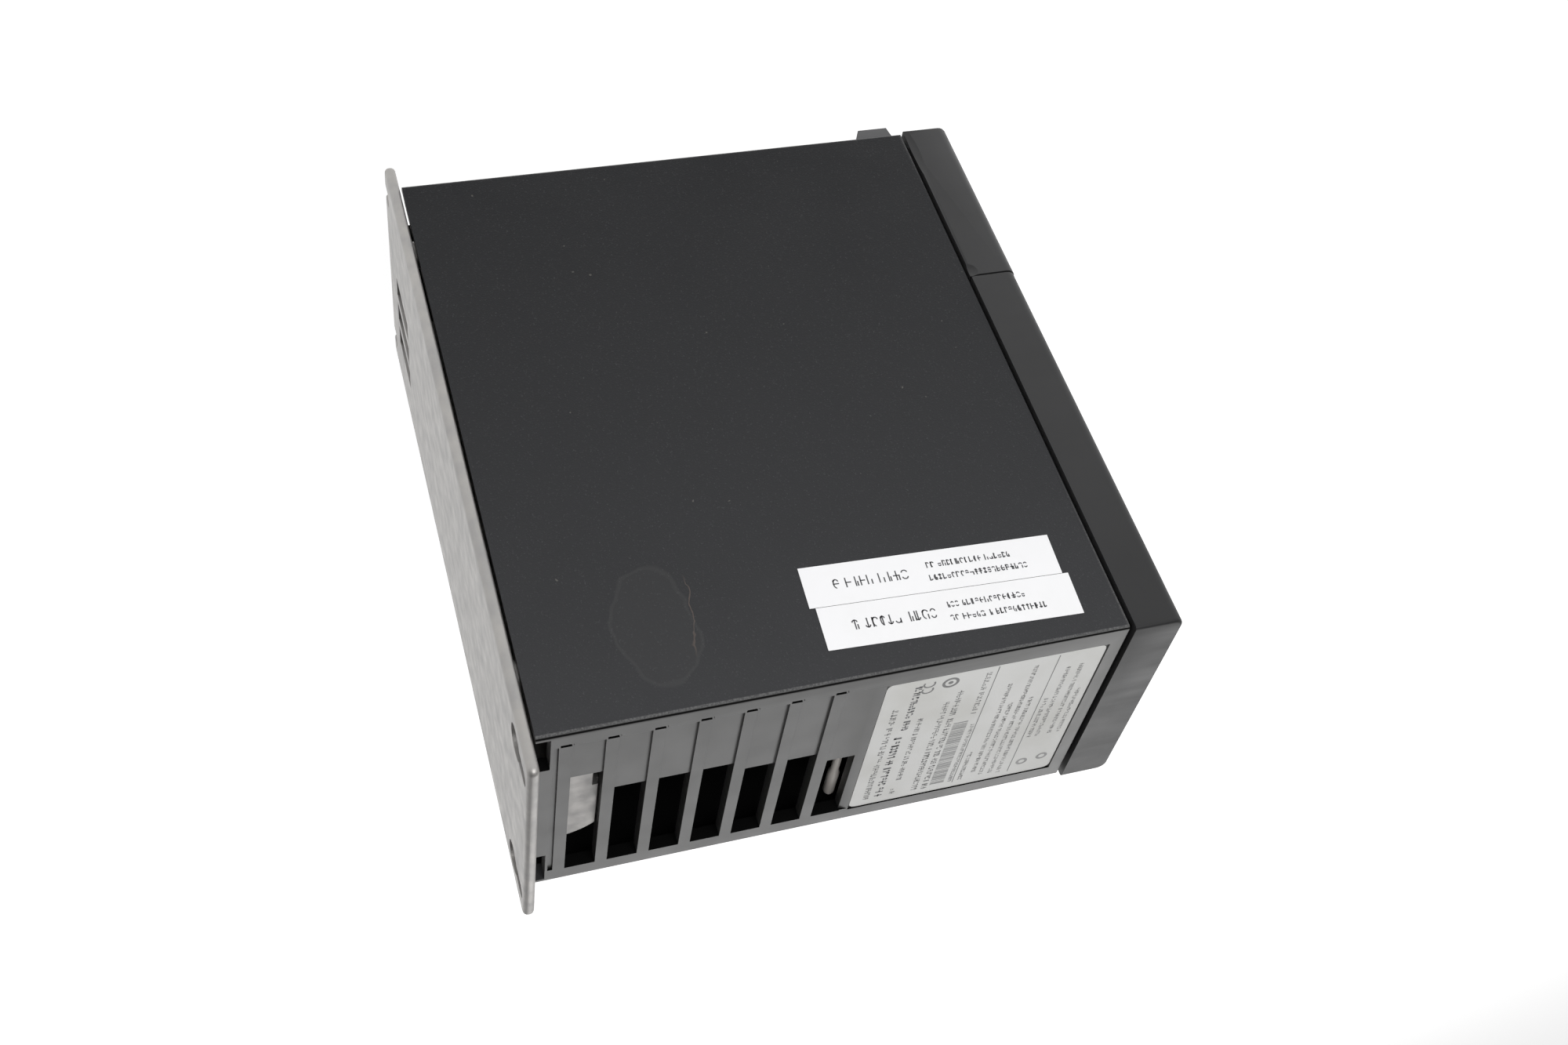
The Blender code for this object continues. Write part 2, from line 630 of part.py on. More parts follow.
def build_terminal_cover():
    """The lower cover, which slides down off the terminals."""
    top = COVER_SPLIT - SPLIT_GAP / 2
    front = COVER_FRONT + TERMINAL_COVER_PROUD
    cavity_z = (COVER_BOTTOM + WALL, top + 5 * MM)
    cover = cover_shell("terminal_cover", front, (COVER_BOTTOM, top), cavity_z, COVER_BOTTOM)
    outlet_z = (COVER_BOTTOM - 2 * MM, COVER_BOTTOM + 4 * MM)
    outlet = ((-22 * MM, 22 * MM), (COVER_BACK - 2 * MM, 162.5 * MM), outlet_z)
    cut(cover, blocks("cable_outlet", [outlet]))
    grips = []
    for index in range(4):
        low = -84 * MM + 3 * MM * index
        grips.append(((-16 * MM, 16 * MM), (front - 0.7 * MM, front + 1 * MM), (low, low + 1.4 * MM)))
    cut(cover, blocks("cover_grip_grooves", grips))
    cut(cover, side_scoops(top))
    return cover


def side_scoops(top):
    """Finger scoops on both sides: a long shallow one at the bottom and a small steep one at the split."""
    shape = bmesh.new()
    shapes = [(COVER_BOTTOM + 9 * MM, 13 * MM, 2.6 * MM), (top - 1.6 * MM, 3.4 * MM, 3.2 * MM)]
    for z, reach, rise in shapes:
        for side in (-1, 1):
            centre = at(side * (COVER_HALF_WIDTH + 1.1 * MM), COVER_BACK, z)
            stretch = Matrix.Diagonal((1.9 * MM, rise, reach, 1))
            matrix = Matrix.Translation(centre) @ stretch
            bmesh.ops.create_icosphere(shape, subdivisions=3, radius=1, matrix=matrix)
    return place("cover_side_scoops", shape)


def build_display():
    rim = 1.6 * MM
    x = (WINDOW_X[0] - rim, WINDOW_X[1] + rim)
    z = (WINDOW_Z[0] - rim, WINDOW_Z[1] + rim)
    window_depth = (COVER_FRONT - 1.6 * MM, COVER_FRONT - 0.2 * MM)
    block("display_window", x, window_depth, z, WINDOW_PLASTIC)
    module_x = (WINDOW_X[0] + 1 * MM, WINDOW_X[1] - 1 * MM)
    module_z = (WINDOW_Z[0] + 1 * MM, WINDOW_Z[1] - 1 * MM)
    base = KEYPAD_BOARD[1] + FIT
    block("display_module", module_x, (base, COVER_FRONT - 2.6 * MM), module_z, COMPONENT_BLACK)
    tip = COVER_FRONT + 0.2 * MM
    for colour, x in zip(LED_COLOURS, LED_XS):
        middle = at(x, (base + tip) / 2, LED_Z)
        lens = rod("led_" + colour, middle, LED_RADIUS, tip - base, "y", LED_COLOURS[colour], 20)
        flange = at(x, base + 1.2 * MM, LED_Z)
        add(lens, rod("led_flange_" + colour, flange, 2.6 * MM, 1 * MM, "y", sides=20))


def key_cap(name, height):
    """A key's cap: rounded corners and a fine chamfer round its face. Its origin is at its back."""
    half_x, half_z = KEY_SIZE[0] / 2, KEY_SIZE[1] / 2
    shape = bmesh.new()
    add_block(shape, (-half_x, half_x), (0, height), (-half_z, half_z))
    uprights = []
    for edge in shape.edges:
        if abs(edge.verts[1].co.y - edge.verts[0].co.y) > 0.1 * MM:
            uprights.append(edge)
    soften(shape, uprights, 1.2 * MM, 3)
    rim = []
    for edge in shape.edges:
        if all(vert.co.y < 0.01 * MM - height for vert in edge.verts):
            rim.append(edge)
    soften(shape, rim, 0.4 * MM, 1)
    return place(name, shape, KEY_PLASTIC)


def build_keys():
    names = [["menu_key", "plus_key", "stop_key"], ["change_data_key", "minus_key", "start_key"]]
    half_x, half_z = KEY_SIZE[0] / 2, KEY_SIZE[1] / 2
    flange = 1.1 * MM
    for column, x in zip(names, KEY_XS):
        for name, z in zip(column, KEY_ZS):
            slide = bpy.data.objects.new(name + "_slide", None)
            slide.location = at(x, KEY_BACK, z)
            bpy.context.scene.collection.objects.link(slide)
            key = key_cap(name, COVER_FRONT + KEY_PROUD - KEY_BACK)
            key.parent = slide
            collar_x = (x - half_x - flange, x + half_x + flange)
            collar_z = (z - half_z - flange, z + half_z + flange)
            add(key, blocks(name + "_collar", [(collar_x, (KEY_BACK, KEY_STEP), collar_z)]))


def build_keypad():
    board_x = (-33.4 * MM, 33.4 * MM)
    board = block("keypad_board", board_x, KEYPAD_BOARD, (-25.6 * MM, 85.2 * MM), BOARD_GREEN)
    leds = [at(x, KEYPAD_BOARD[0], LED_Z) for x in LED_XS]
    cut(board, rods("keypad_led_holes", leds, 1.2 * MM, 6 * MM, "y", sides=12))
    sheet = (KEYPAD_BOARD[1] + FIT, KEYPAD_BOARD[1] + 1.1 * MM)
    mat = block("key_mat", (-28 * MM, 28 * MM), sheet, (-14 * MM, 38 * MM), RUBBER, 2 * MM)
    domes = bmesh.new()
    top = KEY_BACK - KEY_TRAVEL - 0.2 * MM
    bottom = sheet[1] - 0.4 * MM
    for x in KEY_XS:
        for z in KEY_ZS:
            middle = at(x, (top + bottom) / 2, z)
            add_rod(domes, middle, (2 * MM, 3.6 * MM), top - bottom, "y", 16)
    add(mat, place("mat_domes", domes))


# ---- electronics --------------------------------------------------------------------------
def build_boards():
    board = block("power_board", BOARD_X, (14 * MM, 148.6 * MM), (-72 * MM, 86 * MM), BOARD_GREEN)
    holes = [at(BOARD_X[0], depth, z) for depth, z in BOARD_SCREWS]
    cut(board, rods("power_board_holes", holes, 2 * MM, 8 * MM, "x", sides=16))
    notch_x, notch_depth = (20 * MM, 30 * MM), (10 * MM, 26 * MM)
    notches = [(notch_x, notch_depth, z) for z in ((62 * MM, 90 * MM), (-75 * MM, -62 * MM))]
    cut(board, blocks("board_boss_notches", notches))
    control_z = (-84.8 * MM, 85.3 * MM)
    control = block("control_board", (-33.2 * MM, 33.2 * MM), CONTROL_BOARD, control_z, BOARD_GREEN)
    cable_gap = ((-20 * MM, 20 * MM), (150 * MM, 160 * MM), (-90 * MM, -83.4 * MM))
    cut(control, blocks("control_cable_gap", [cable_gap]))
    link_depth = (149 * MM, CONTROL_BOARD[0] - FIT)
    block("board_link", (-14 * MM, 14 * MM), link_depth, (-19 * MM, -11 * MM), COMPONENT_BLACK)


def build_power_module():
    """The power semiconductor block, screwed against the casting's web over a thermal pad."""
    web_face = WEB[1]
    low_z, high_z = MODULE_SCREW_ZS
    module_x = (web_face + 0.6 * MM, BOARD_X[0] - FIT)
    module_z = (low_z - 4 * MM, high_z + 4 * MM)
    module = block("power_module", module_x, (32 * MM, 68 * MM), module_z, COMPONENT_BLACK, 1 * MM, "x")
    eyes = [at(web_face + 6 * MM, MODULE_SCREW_DEPTH, z) for z in MODULE_SCREW_ZS]
    cut(module, rods("module_eyes", eyes, 4.2 * MM, 9 * MM, "x", sides=20))
    cut(module, rods("module_bores", eyes, 2.3 * MM, 20 * MM, "x", sides=16))
    pad_x = (web_face + 0.1 * MM, web_face + 0.5 * MM)
    block("thermal_pad", pad_x, (33 * MM, 67 * MM), (low_z + 5 * MM, high_z - 5 * MM), PAD_GREY)
    for index, z in enumerate(MODULE_SCREW_ZS, 1):
        name = f"module_screw_{index}"
        head_centre = at(web_face + 3.3 * MM, MODULE_SCREW_DEPTH, z)
        shank_centre = at(web_face - 0.2 * MM, MODULE_SCREW_DEPTH, z)
        head = rod(name, head_centre, 3.6 * MM, 3 * MM, "x", STEEL, 20)
        add(head, rod(name + "_shank", shank_centre, 1.9 * MM, 5.6 * MM, "x", sides=12))


def build_power_parts():
    build_power_module()
    for index, (depth, z) in enumerate(CAPACITORS, 1):
        build_capacitor(f"dc_capacitor_{index}", depth, z)
    build_choke("filter_choke", at(18 * MM, 109 * MM, -34 * MM), 10.4 * MM, 4.6 * MM)
    tall = (9 * MM, BOARD_X[0] - FIT)
    round_edge = 0.8 * MM
    film_z, relay_z = (-4 * MM, 23 * MM), (-46 * MM, -17 * MM)
    block("filter_capacitor", tall, (126 * MM, 142 * MM), film_z, LABEL_WHITE, round_edge, "x")
    block("power_relay", tall, (128 * MM, 146 * MM), relay_z, COMPONENT_BLACK, round_edge, "x")
    core_x = (6 * MM, BOARD_X[0] - FIT)
    core = block("supply_transformer", core_x, (97 * MM, 117 * MM), (-9 * MM, 9 * MM), COMPONENT_BLACK)
    bobbin = ((9 * MM, 22 * MM), (94 * MM, 120 * MM), (-6 * MM, 6 * MM))
    add(core, blocks("transformer_bobbin", [bobbin]))


def build_capacitor(name, depth, z):
    """A radial electrolytic can that stands on the power board, with a crimped bead near its foot."""
    start, end = -13 * MM, BOARD_X[0] - FIT
    radius = CAPACITOR_RADIUS
    bead = end - 4 * MM
    profile = [
        (start, radius - 1 * MM),
        (start + 1 * MM, radius),
        (bead - 1 * MM, radius),
        (bead, radius - 0.8 * MM),
        (bead + 1 * MM, radius),
        (end, radius),
    ]
    turned(name, profile, at(0, depth, z), SLEEVE_BLUE)


def turned(name, profile, centre, finish, sides=28):
    """Turns a profile of (x, radius) points about a line along X through centre."""
    shape = bmesh.new()
    rings = []
    for x, radius in profile:
        ring = []
        for step in range(sides):
            angle = 2 * pi * step / sides
            ring.append(shape.verts.new(centre + Vector((x, radius * cos(angle), radius * sin(angle)))))
        rings.append(ring)
    for first, second in zip(rings, rings[1:]):
        for step in range(sides):
            following = (step + 1) % sides
            shape.faces.new((first[step], first[following], second[following], second[step]))
    shape.faces.new(rings[0])
    shape.faces.new(rings[-1])
    return place(name, shape, finish)


def build_choke(name, centre, ring_radius, tube_radius, around=24, across=10):
    """A toroid wound choke lying flat against the power board."""
    shape = bmesh.new()
    grid = []
    for step in range(around):
        turn = 2 * pi * step / around
        row = []
        for part in range(across):
            lean = 2 * pi * part / across
            reach = ring_radius + tube_radius * cos(lean)
            offset = Vector((tube_radius * sin(lean), reach * cos(turn), reach * sin(turn)))
            row.append(shape.verts.new(centre + offset))
        grid.append(row)
    for step in range(around):
        for part in range(across):
            a, b = grid[step], grid[(step + 1) % around]
            following = (part + 1) % across
            shape.faces.new((a[part], a[following], b[following], b[part]))
    return place(name, shape, FERRITE_COPPER)


def build_fan():
    half = FAN_SIDE / 2
    x, depth = FAN_CENTRE
    middle_z = sum(FAN_Z) / 2
    thick = FAN_Z[1] - FAN_Z[0]
    frame_x, frame_depth = (x - half, x + half), (depth - half, depth + half)
    frame = block("fan_frame", frame_x, frame_depth, FAN_Z, COMPONENT_BLACK, 3 * MM, "z")
    cut(frame, rod("fan_bore", at(x, depth, middle_z), FAN_BORE, 20 * MM, "z", sides=40))
    spider_z = (FAN_Z[1] - 1.4 * MM, FAN_Z[1])
    arm = FAN_BORE + 0.6 * MM
    arms = [
        ((x - arm, x + arm), (depth - 1 * MM, depth + 1 * MM), spider_z),
        ((x - 1 * MM, x + 1 * MM), (depth - arm, depth + arm), spider_z),
    ]
    add(frame, blocks("fan_arm_across", arms[:1]), blocks("fan_arm_forward", arms[1:]))
    hub_z = (spider_z[0] + spider_z[1]) / 2
    add(frame, rod("fan_motor_seat", at(x, depth, hub_z), 8 * MM, spider_z[1] - spider_z[0], "z", sides=24))
    mounting = []
    for side in (-16 * MM, 16 * MM):
        for forward in (-16 * MM, 16 * MM):
            mounting.append(at(x + side, depth + forward, middle_z))
    cut(frame, rods("fan_mounting_holes", mounting, 1.6 * MM, thick + 6 * MM, "z", sides=16))
    build_fan_rotor(x, depth)


def build_fan_rotor(x, depth):
    axle = bpy.data.objects.new("fan_axis", None)
    axle.location = at(x, depth, FAN_Z[0])
    bpy.context.scene.collection.objects.link(axle)
    low, high = 1 * MM, 8 * MM
    hub = Vector((0, 0, (low + high) / 2))
    rotor = rod("fan_rotor", hub, 9 * MM, high - low, "z", COMPONENT_BLACK, 28)
    rotor.parent = axle
    blades = 7
    for index in range(blades):
        shape = bmesh.new()
        tilt = Matrix.Rotation(radians(38), 4, "X")
        stretch = Matrix.Diagonal((9.7 * MM, 1.2 * MM, 6.4 * MM, 1))
        middle = Matrix.Translation((12.9 * MM, 0, 4.5 * MM))
        turn = Matrix.Rotation(2 * pi * index / blades, 4, "Z")
        bmesh.ops.create_cube(shape, size=1, matrix=turn @ middle @ tilt @ stretch)
        blade = place(f"fan_blade_{index}", shape)
        blade.parent = axle
        add(rotor, blade)


# ---- terminals and switches ---------------------------------------------------------------
def build_plugs():
    """Pluggable mains and motor connectors, with the headers they push onto."""
    for name, centre in zip(("mains", "motor"), PLUG_CENTRES):
        span = (centre - PLUG_HALF_WIDTH, centre + PLUG_HALF_WIDTH)
        first_pole = centre - POLE_PITCH * (PLUG_POLES - 1) / 2
        poles = [first_pole + POLE_PITCH * index for index in range(PLUG_POLES)]
        middle = sum(PLUG_DEPTH) / 2
        build_header(name + "_header", span, poles, middle)
        build_plug(name + "_plug", centre, span, poles, middle)


def build_header(name, span, poles, middle):
    """The fixed half: a block on the power board with one pin for each pole."""
    header = block(name, span, PLUG_DEPTH, (-85.6 * MM, -73.4 * MM), COMPONENT_BLACK)
    pins = [at(x, middle, -86.4 * MM) for x in poles]
    add(header, rods(name + "_pins", pins, 0.7 * MM, 6 * MM, "z", sides=12))


def build_plug(name, centre, span, poles, middle):
    """The loose half: its hood stands below the drive, wider than the body in the end wall."""
    plug = block(name, span, PLUG_DEPTH, (-94 * MM, -86 * MM), PLUG_PLASTIC)
    outer = HOOD_SIDE if centre > 0 else -HOOD_SIDE
    inner = 0.6 * MM if centre > 0 else -0.6 * MM
    hood_x = (min(inner, outer), max(inner, outer))
    outline = [
        (HOOD_DEPTH[0] - 2 * MM, HOOD_TOP),
        (HOOD_DEPTH[0] + 1.2 * MM, HOOD_BOTTOM),
        (HOOD_DEPTH[1], HOOD_BOTTOM),
        (HOOD_DEPTH[1] + 0.6 * MM, HOOD_LIP),
        (HOOD_DEPTH[1] + 1.7 * MM, HOOD_LIP + 0.2 * MM),
        (HOOD_DEPTH[1] + 1.9 * MM, HOOD_TOP),
    ]
    add(plug, prism(name + "_hood", outline, hood_x, axis="x"))
    wire_entries = ("wire_entries", 1.8 * MM, (-100 * MM, -92.4 * MM))
    pin_sockets = ("pin_sockets", 1.1 * MM, (-90.4 * MM, -85 * MM))
    for hole, half, z in (wire_entries, pin_sockets):
        depth = (middle - half, middle + half)
        cut(plug, blocks(f"{name}_{hole}", [((x - half, x + half), depth, z) for x in poles]))


def control_terminals(name, z, poles):
    """A row of screw terminals: screw wells face the front, wire entries face down."""
    pitch = TERMINAL_PITCH
    half = pitch * poles / 2
    base, face = COMPONENT_BASE, TERMINAL_FACE
    strip = block(name, (-half, half), (base, face), z, CONNECTOR_GREEN)
    places = [pitch * (index - (poles - 1) / 2) for index in range(poles)]
    wells = [at(x, face, (z[0] + z[1]) / 2 + 1.4 * MM) for x in places]
    cut(strip, rods(name + "_screw_wells", wells, 1.7 * MM, 4 * MM, "y", sides=12))
    entry_depth, entry_z = (face - 6 * MM, face - 2.6 * MM), (z[0] - 1 * MM, z[0] + 4 * MM)
    entries = [((x - 1.4 * MM, x + 1.4 * MM), entry_depth, entry_z) for x in places]
    cut(strip, blocks(name + "_wire_entries", entries))


def build_bus_connector():
    """A nine-way connector: a flange, a shroud that is wider at its top, and two rows of contacts."""
    flange_x, flange_z = (-15.4 * MM, 15.4 * MM), (-51 * MM, -38.6 * MM)
    flange = block("bus_connector", flange_x, (COMPONENT_BASE, 158.4 * MM), flange_z, STEEL)
    wide, narrow, half = 8.4 * MM, 7.1 * MM, 4.1 * MM
    middle = sum(flange_z) / 2
    high, low = middle + half, middle - half
    outline = [(-wide, high), (-narrow, low), (narrow, low), (wide, high)]
    face = 163.8 * MM
    add(flange, prism("bus_shroud", outline, (158 * MM, face)))
    pins = []
    for count, z in ((5, middle + 1.4 * MM), (4, middle - 1.4 * MM)):
        for index in range(count):
            pins.append(at(CONTACT_PITCH * (index - (count - 1) / 2), face, z))
    cut(flange, rods("bus_contacts", pins, 0.6 * MM, 4 * MM, "y", sides=8))


def build_dip_switch():
    base, face = COMPONENT_BASE, 159.6 * MM
    body = block("dip_switch", DIP_X, (base, face), DIP_Z, COMPONENT_BLACK)
    centre_x = sum(DIP_X) / 2
    centre_z = sum(DIP_Z) / 2
    slots = []
    floor = face - 1.6 * MM
    for index in range(DIP_COUNT):
        x = centre_x + DIP_PITCH * (index - (DIP_COUNT - 1) / 2)
        slot_z = (centre_z - 2 * MM, centre_z + 2 * MM)
        slots.append(((x - 0.8 * MM, x + 0.8 * MM), (floor, face + 2 * MM), slot_z))
    cut(body, blocks("dip_slots", slots))
    for index in range(DIP_COUNT):
        x = centre_x + DIP_PITCH * (index - (DIP_COUNT - 1) / 2)
        lever_x, lever_z = (x - 0.5 * MM, x + 0.5 * MM), (centre_z - 1.7 * MM, centre_z)
        lever_depth = (floor + FIT, face + 0.7 * MM)
        block(f"dip_lever_{index + 1}", lever_x, lever_depth, lever_z, LABEL_WHITE)


# ---- fasteners, supports and labels -------------------------------------------------------
def build_screws():
    """Body screws go in from the open front. Board screws go in from the left."""
    for index, seat in enumerate(screw_places(BOSS_FRONT + FIT), 1):
        name = f"body_screw_{index}"
        head = rod(name, seat + Vector((0, -1.3 * MM, 0)), 3.6 * MM, 2.6 * MM, "y", STEEL, 24)
        shank_centre = seat + Vector((0, 8.7 * MM, 0))
        add(head, rod(name + "_shank", shank_centre, 1.75 * MM, 19 * MM, "y", sides=16))
        x, depth, z = seat.x, -seat.y, seat.z
        arm, half, floor = 2 * MM, 0.4 * MM, depth + 1.2 * MM
        for turn, (wide, tall) in enumerate(((arm, half), (half, arm))):
            recess = [((x - wide, x + wide), (floor, depth + 4 * MM), (z - tall, z + tall))]
            cut(head, blocks(f"{name}_recess_{turn}", recess))
    for index, (depth, z) in enumerate(BOARD_SCREWS, 1):
        name = f"board_screw_{index}"
        head = rod(name, at(BOARD_X[0] - 1.2 * MM, depth, z), 3 * MM, 1.8 * MM, "x", STEEL, 20)
        shank_centre = at(BOARD_X[0] + 1.6 * MM, depth, z)
        add(head, rod(name + "_shank", shank_centre, 1.4 * MM, 5 * MM, "x", sides=12))


def build_air_sensor():
    """A temperature sensor on a stalk from the power board, with its bead in the air of the last vent."""
    bead, stalk = 1.65 * MM, 1.15 * MM
    profile = [
        (-33.2 * MM, 0.7 * MM),
        (-32.6 * MM, 1.35 * MM),
        (-31.8 * MM, bead),
        (-22 * MM, bead),
        (-20 * MM, stalk),
        (BOARD_X[0] - FIT, stalk),
    ]
    turned("outlet_air_sensor", profile, at(0, 87.2 * MM, 84.6 * MM), NYLON, sides=16)


def build_labels():
    lift, thick = 0.05 * MM, 0.2 * MM
    base = BODY_TOP - LABEL_RECESS + lift
    block("rating_label", LABEL_X, LABEL_DEPTH, (base, base + thick), LABEL_WHITE, 2 * MM, "z")
    side_tag("asset_label_1", 109.8 * MM, 65.1 * MM, 12.1 * MM)
    side_tag("asset_label_2", 110.8 * MM, 77.55 * MM, 12.4 * MM)


def side_tag(name, depth, z, height):
    """A paper label on the right side, tilted a little."""
    lift, thick, length = 0.05 * MM, 0.1 * MM, 67 * MM
    centre = at(BODY_HALF_WIDTH + lift + thick / 2, depth, z)
    turn = Matrix.Rotation(-TAG_TILT, 4, "X")
    shape = bmesh.new()
    matrix = Matrix.Translation(centre) @ turn @ Matrix.Diagonal((thick, length, height, 1))
    bmesh.ops.create_cube(shape, size=1, matrix=matrix)
    place(name, shape, LABEL_WHITE)


build_heatsink()
build_housing()
build_front_frame()
build_control_panel()
build_terminal_cover()
build_display()
build_keys()
build_keypad()
build_boards()
build_power_parts()
build_fan()
build_plugs()
control_terminals("control_terminals_upper", (-66.6 * MM, -57.4 * MM), 10)
control_terminals("control_terminals_lower", (-82.6 * MM, -73.4 * MM), 10)
build_bus_connector()
build_dip_switch()
build_screws()
build_air_sensor()
build_labels()
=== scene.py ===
"""The looks of a compact motor drive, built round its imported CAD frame. Lengths are metres."""

import json
import random
from math import cos, pi, radians, sin

import bmesh
import bpy
from mathutils import Matrix, Vector


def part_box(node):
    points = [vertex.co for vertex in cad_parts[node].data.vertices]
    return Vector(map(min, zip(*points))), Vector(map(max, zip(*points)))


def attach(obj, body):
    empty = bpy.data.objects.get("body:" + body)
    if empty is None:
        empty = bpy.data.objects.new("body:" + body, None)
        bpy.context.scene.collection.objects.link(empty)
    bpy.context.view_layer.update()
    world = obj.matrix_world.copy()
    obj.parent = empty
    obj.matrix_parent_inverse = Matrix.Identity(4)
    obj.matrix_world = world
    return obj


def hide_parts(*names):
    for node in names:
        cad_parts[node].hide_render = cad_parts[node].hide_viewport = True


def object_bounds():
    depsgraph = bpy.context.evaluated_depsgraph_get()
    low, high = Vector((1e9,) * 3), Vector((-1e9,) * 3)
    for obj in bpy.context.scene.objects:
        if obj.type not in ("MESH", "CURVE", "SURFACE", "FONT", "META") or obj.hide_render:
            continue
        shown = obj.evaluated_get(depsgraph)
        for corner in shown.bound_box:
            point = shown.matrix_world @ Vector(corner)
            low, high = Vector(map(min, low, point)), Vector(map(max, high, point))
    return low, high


MM = 0.001
X, Y, Z = 0, 1, 2

CAMERA_PLACE = (0.4055, 0.04547, 0.29321)
CAMERA_LENS = 41.8  # millimetres, on a sensor 36 mm wide
LOOK_ALONG = (-0.79677, -0.26655, -0.54232)
PICTURE_DOWN = (-0.59086, 0.15555, 0.79163)

FLOOR_DROP = 62 * MM  # the drive hangs clear of the floor, so that its lower cover has room to slide off
FLOOR_RADIUS = 9.0
SKY_LOW, SKY_HIGH = 0.62, 0.08  # the brightness of the room near the horizon and overhead

SOFT_EDGE = 0.15 * MM  # how far a plastic edge looks rounded
INK_GAP = 0.02 * MM  # printed marks lie this far above their surface
SHARP = radians(35)  # edges that turn by more than this stay sharp

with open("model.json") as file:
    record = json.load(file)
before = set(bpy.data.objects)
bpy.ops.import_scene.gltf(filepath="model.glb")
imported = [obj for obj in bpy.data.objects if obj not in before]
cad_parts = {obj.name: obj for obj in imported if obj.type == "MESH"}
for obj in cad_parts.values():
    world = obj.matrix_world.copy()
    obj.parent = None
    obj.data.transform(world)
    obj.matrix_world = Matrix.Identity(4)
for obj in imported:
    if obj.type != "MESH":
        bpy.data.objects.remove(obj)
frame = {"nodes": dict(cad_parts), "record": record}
cad_low, cad_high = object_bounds()
nodes = frame["nodes"]


# ---- camera, floor and light --------------------------------------------------------------
def make_camera():
    """The drive is seen from above its right side, rolled so that its top end points down."""
    camera = bpy.data.objects.new("camera", bpy.data.cameras.new("camera"))
    bpy.context.scene.collection.objects.link(camera)
    forward = Vector(LOOK_ALONG).normalized()
    down = Vector(PICTURE_DOWN)
    up = -(down - forward * down.dot(forward)).normalized()
    right = forward.cross(up)
    turn = Matrix((right, up, -forward)).transposed()
    camera.matrix_world = Matrix.Translation(CAMERA_PLACE) @ turn.to_4x4()
    camera.data.sensor_width = 36
    camera.data.lens = CAMERA_LENS
    camera.data.clip_start = 0.01
    camera.data.clip_end = 100
    bpy.context.scene.camera = camera


def soft_light(name, place, target, size, power):
    """A rectangular softbox that faces its target."""
    lamp = bpy.data.lights.new(name, "AREA")
    lamp.shape = "RECTANGLE"
    lamp.size, lamp.size_y = size
    lamp.energy = power
    holder = bpy.data.objects.new(name, lamp)
    bpy.context.scene.collection.objects.link(holder)
    holder.location = place
    holder.rotation_mode = "QUATERNION"
    holder.rotation_quaternion = (Vector(target) - Vector(place)).to_track_quat("-Z", "Y")


def make_stage():
    """A white floor that glows a little, a bright room and two softboxes."""
    floor_mesh = bpy.data.meshes.new("floor")
    shape = bmesh.new()
    bmesh.ops.create_circle(shape, cap_ends=True, segments=96, radius=FLOOR_RADIUS)
    shape.to_mesh(floor_mesh)
    shape.free()
    floor = bpy.data.objects.new("floor", floor_mesh)
    floor.location.z = cad_low.z - FLOOR_DROP
    bpy.context.scene.collection.objects.link(floor)
    paint = Finish("floor_paint", (0.8, 0.8, 0.8), 0.7)
    paint.set("Emission Color", (1, 1, 1, 1))
    paint.set("Emission Strength", 0.68)
    tint = paint.noise(3, detail=2)
    paint.set("Roughness", paint.remap(tint, 0.3, 0.7, 0.65, 0.75))
    floor_mesh.materials.append(paint.material)
    make_sky()
    bpy.context.scene.view_settings.view_transform = "Standard"
    soft_light("end_softbox", (-1.25, -0.56, 0.95), (0, -0.08, 0.09), (1.5, 1.2), 9)
    soft_light("side_softbox", (0.37, -0.13, 0.4), (0.03, -0.1, 0.03), (0.35, 0.35), 1.5)


def make_sky():
    """A studio room: bright low down, where the windows and screens are, and dark overhead."""
    world = bpy.data.worlds.new("studio")
    world.use_nodes = True
    tree = world.node_tree
    direction = tree.nodes.new("ShaderNodeTexCoord").outputs["Generated"]
    parts = tree.nodes.new("ShaderNodeSeparateXYZ")
    tree.links.new(direction, parts.inputs[0])
    height = tree.nodes.new("ShaderNodeMapRange")
    height.interpolation_type = "SMOOTHSTEP"
    limits = {"From Min": 0.25, "From Max": 0.8, "To Min": SKY_LOW, "To Max": SKY_HIGH}
    for socket, value in limits.items():
        height.inputs[socket].default_value = value
    tree.links.new(parts.outputs["Z"], height.inputs["Value"])
    background = tree.nodes["Background"]
    background.inputs["Color"].default_value = (1, 1, 1, 1)
    tree.links.new(height.outputs["Result"], background.inputs["Strength"])
    bpy.context.scene.world = world


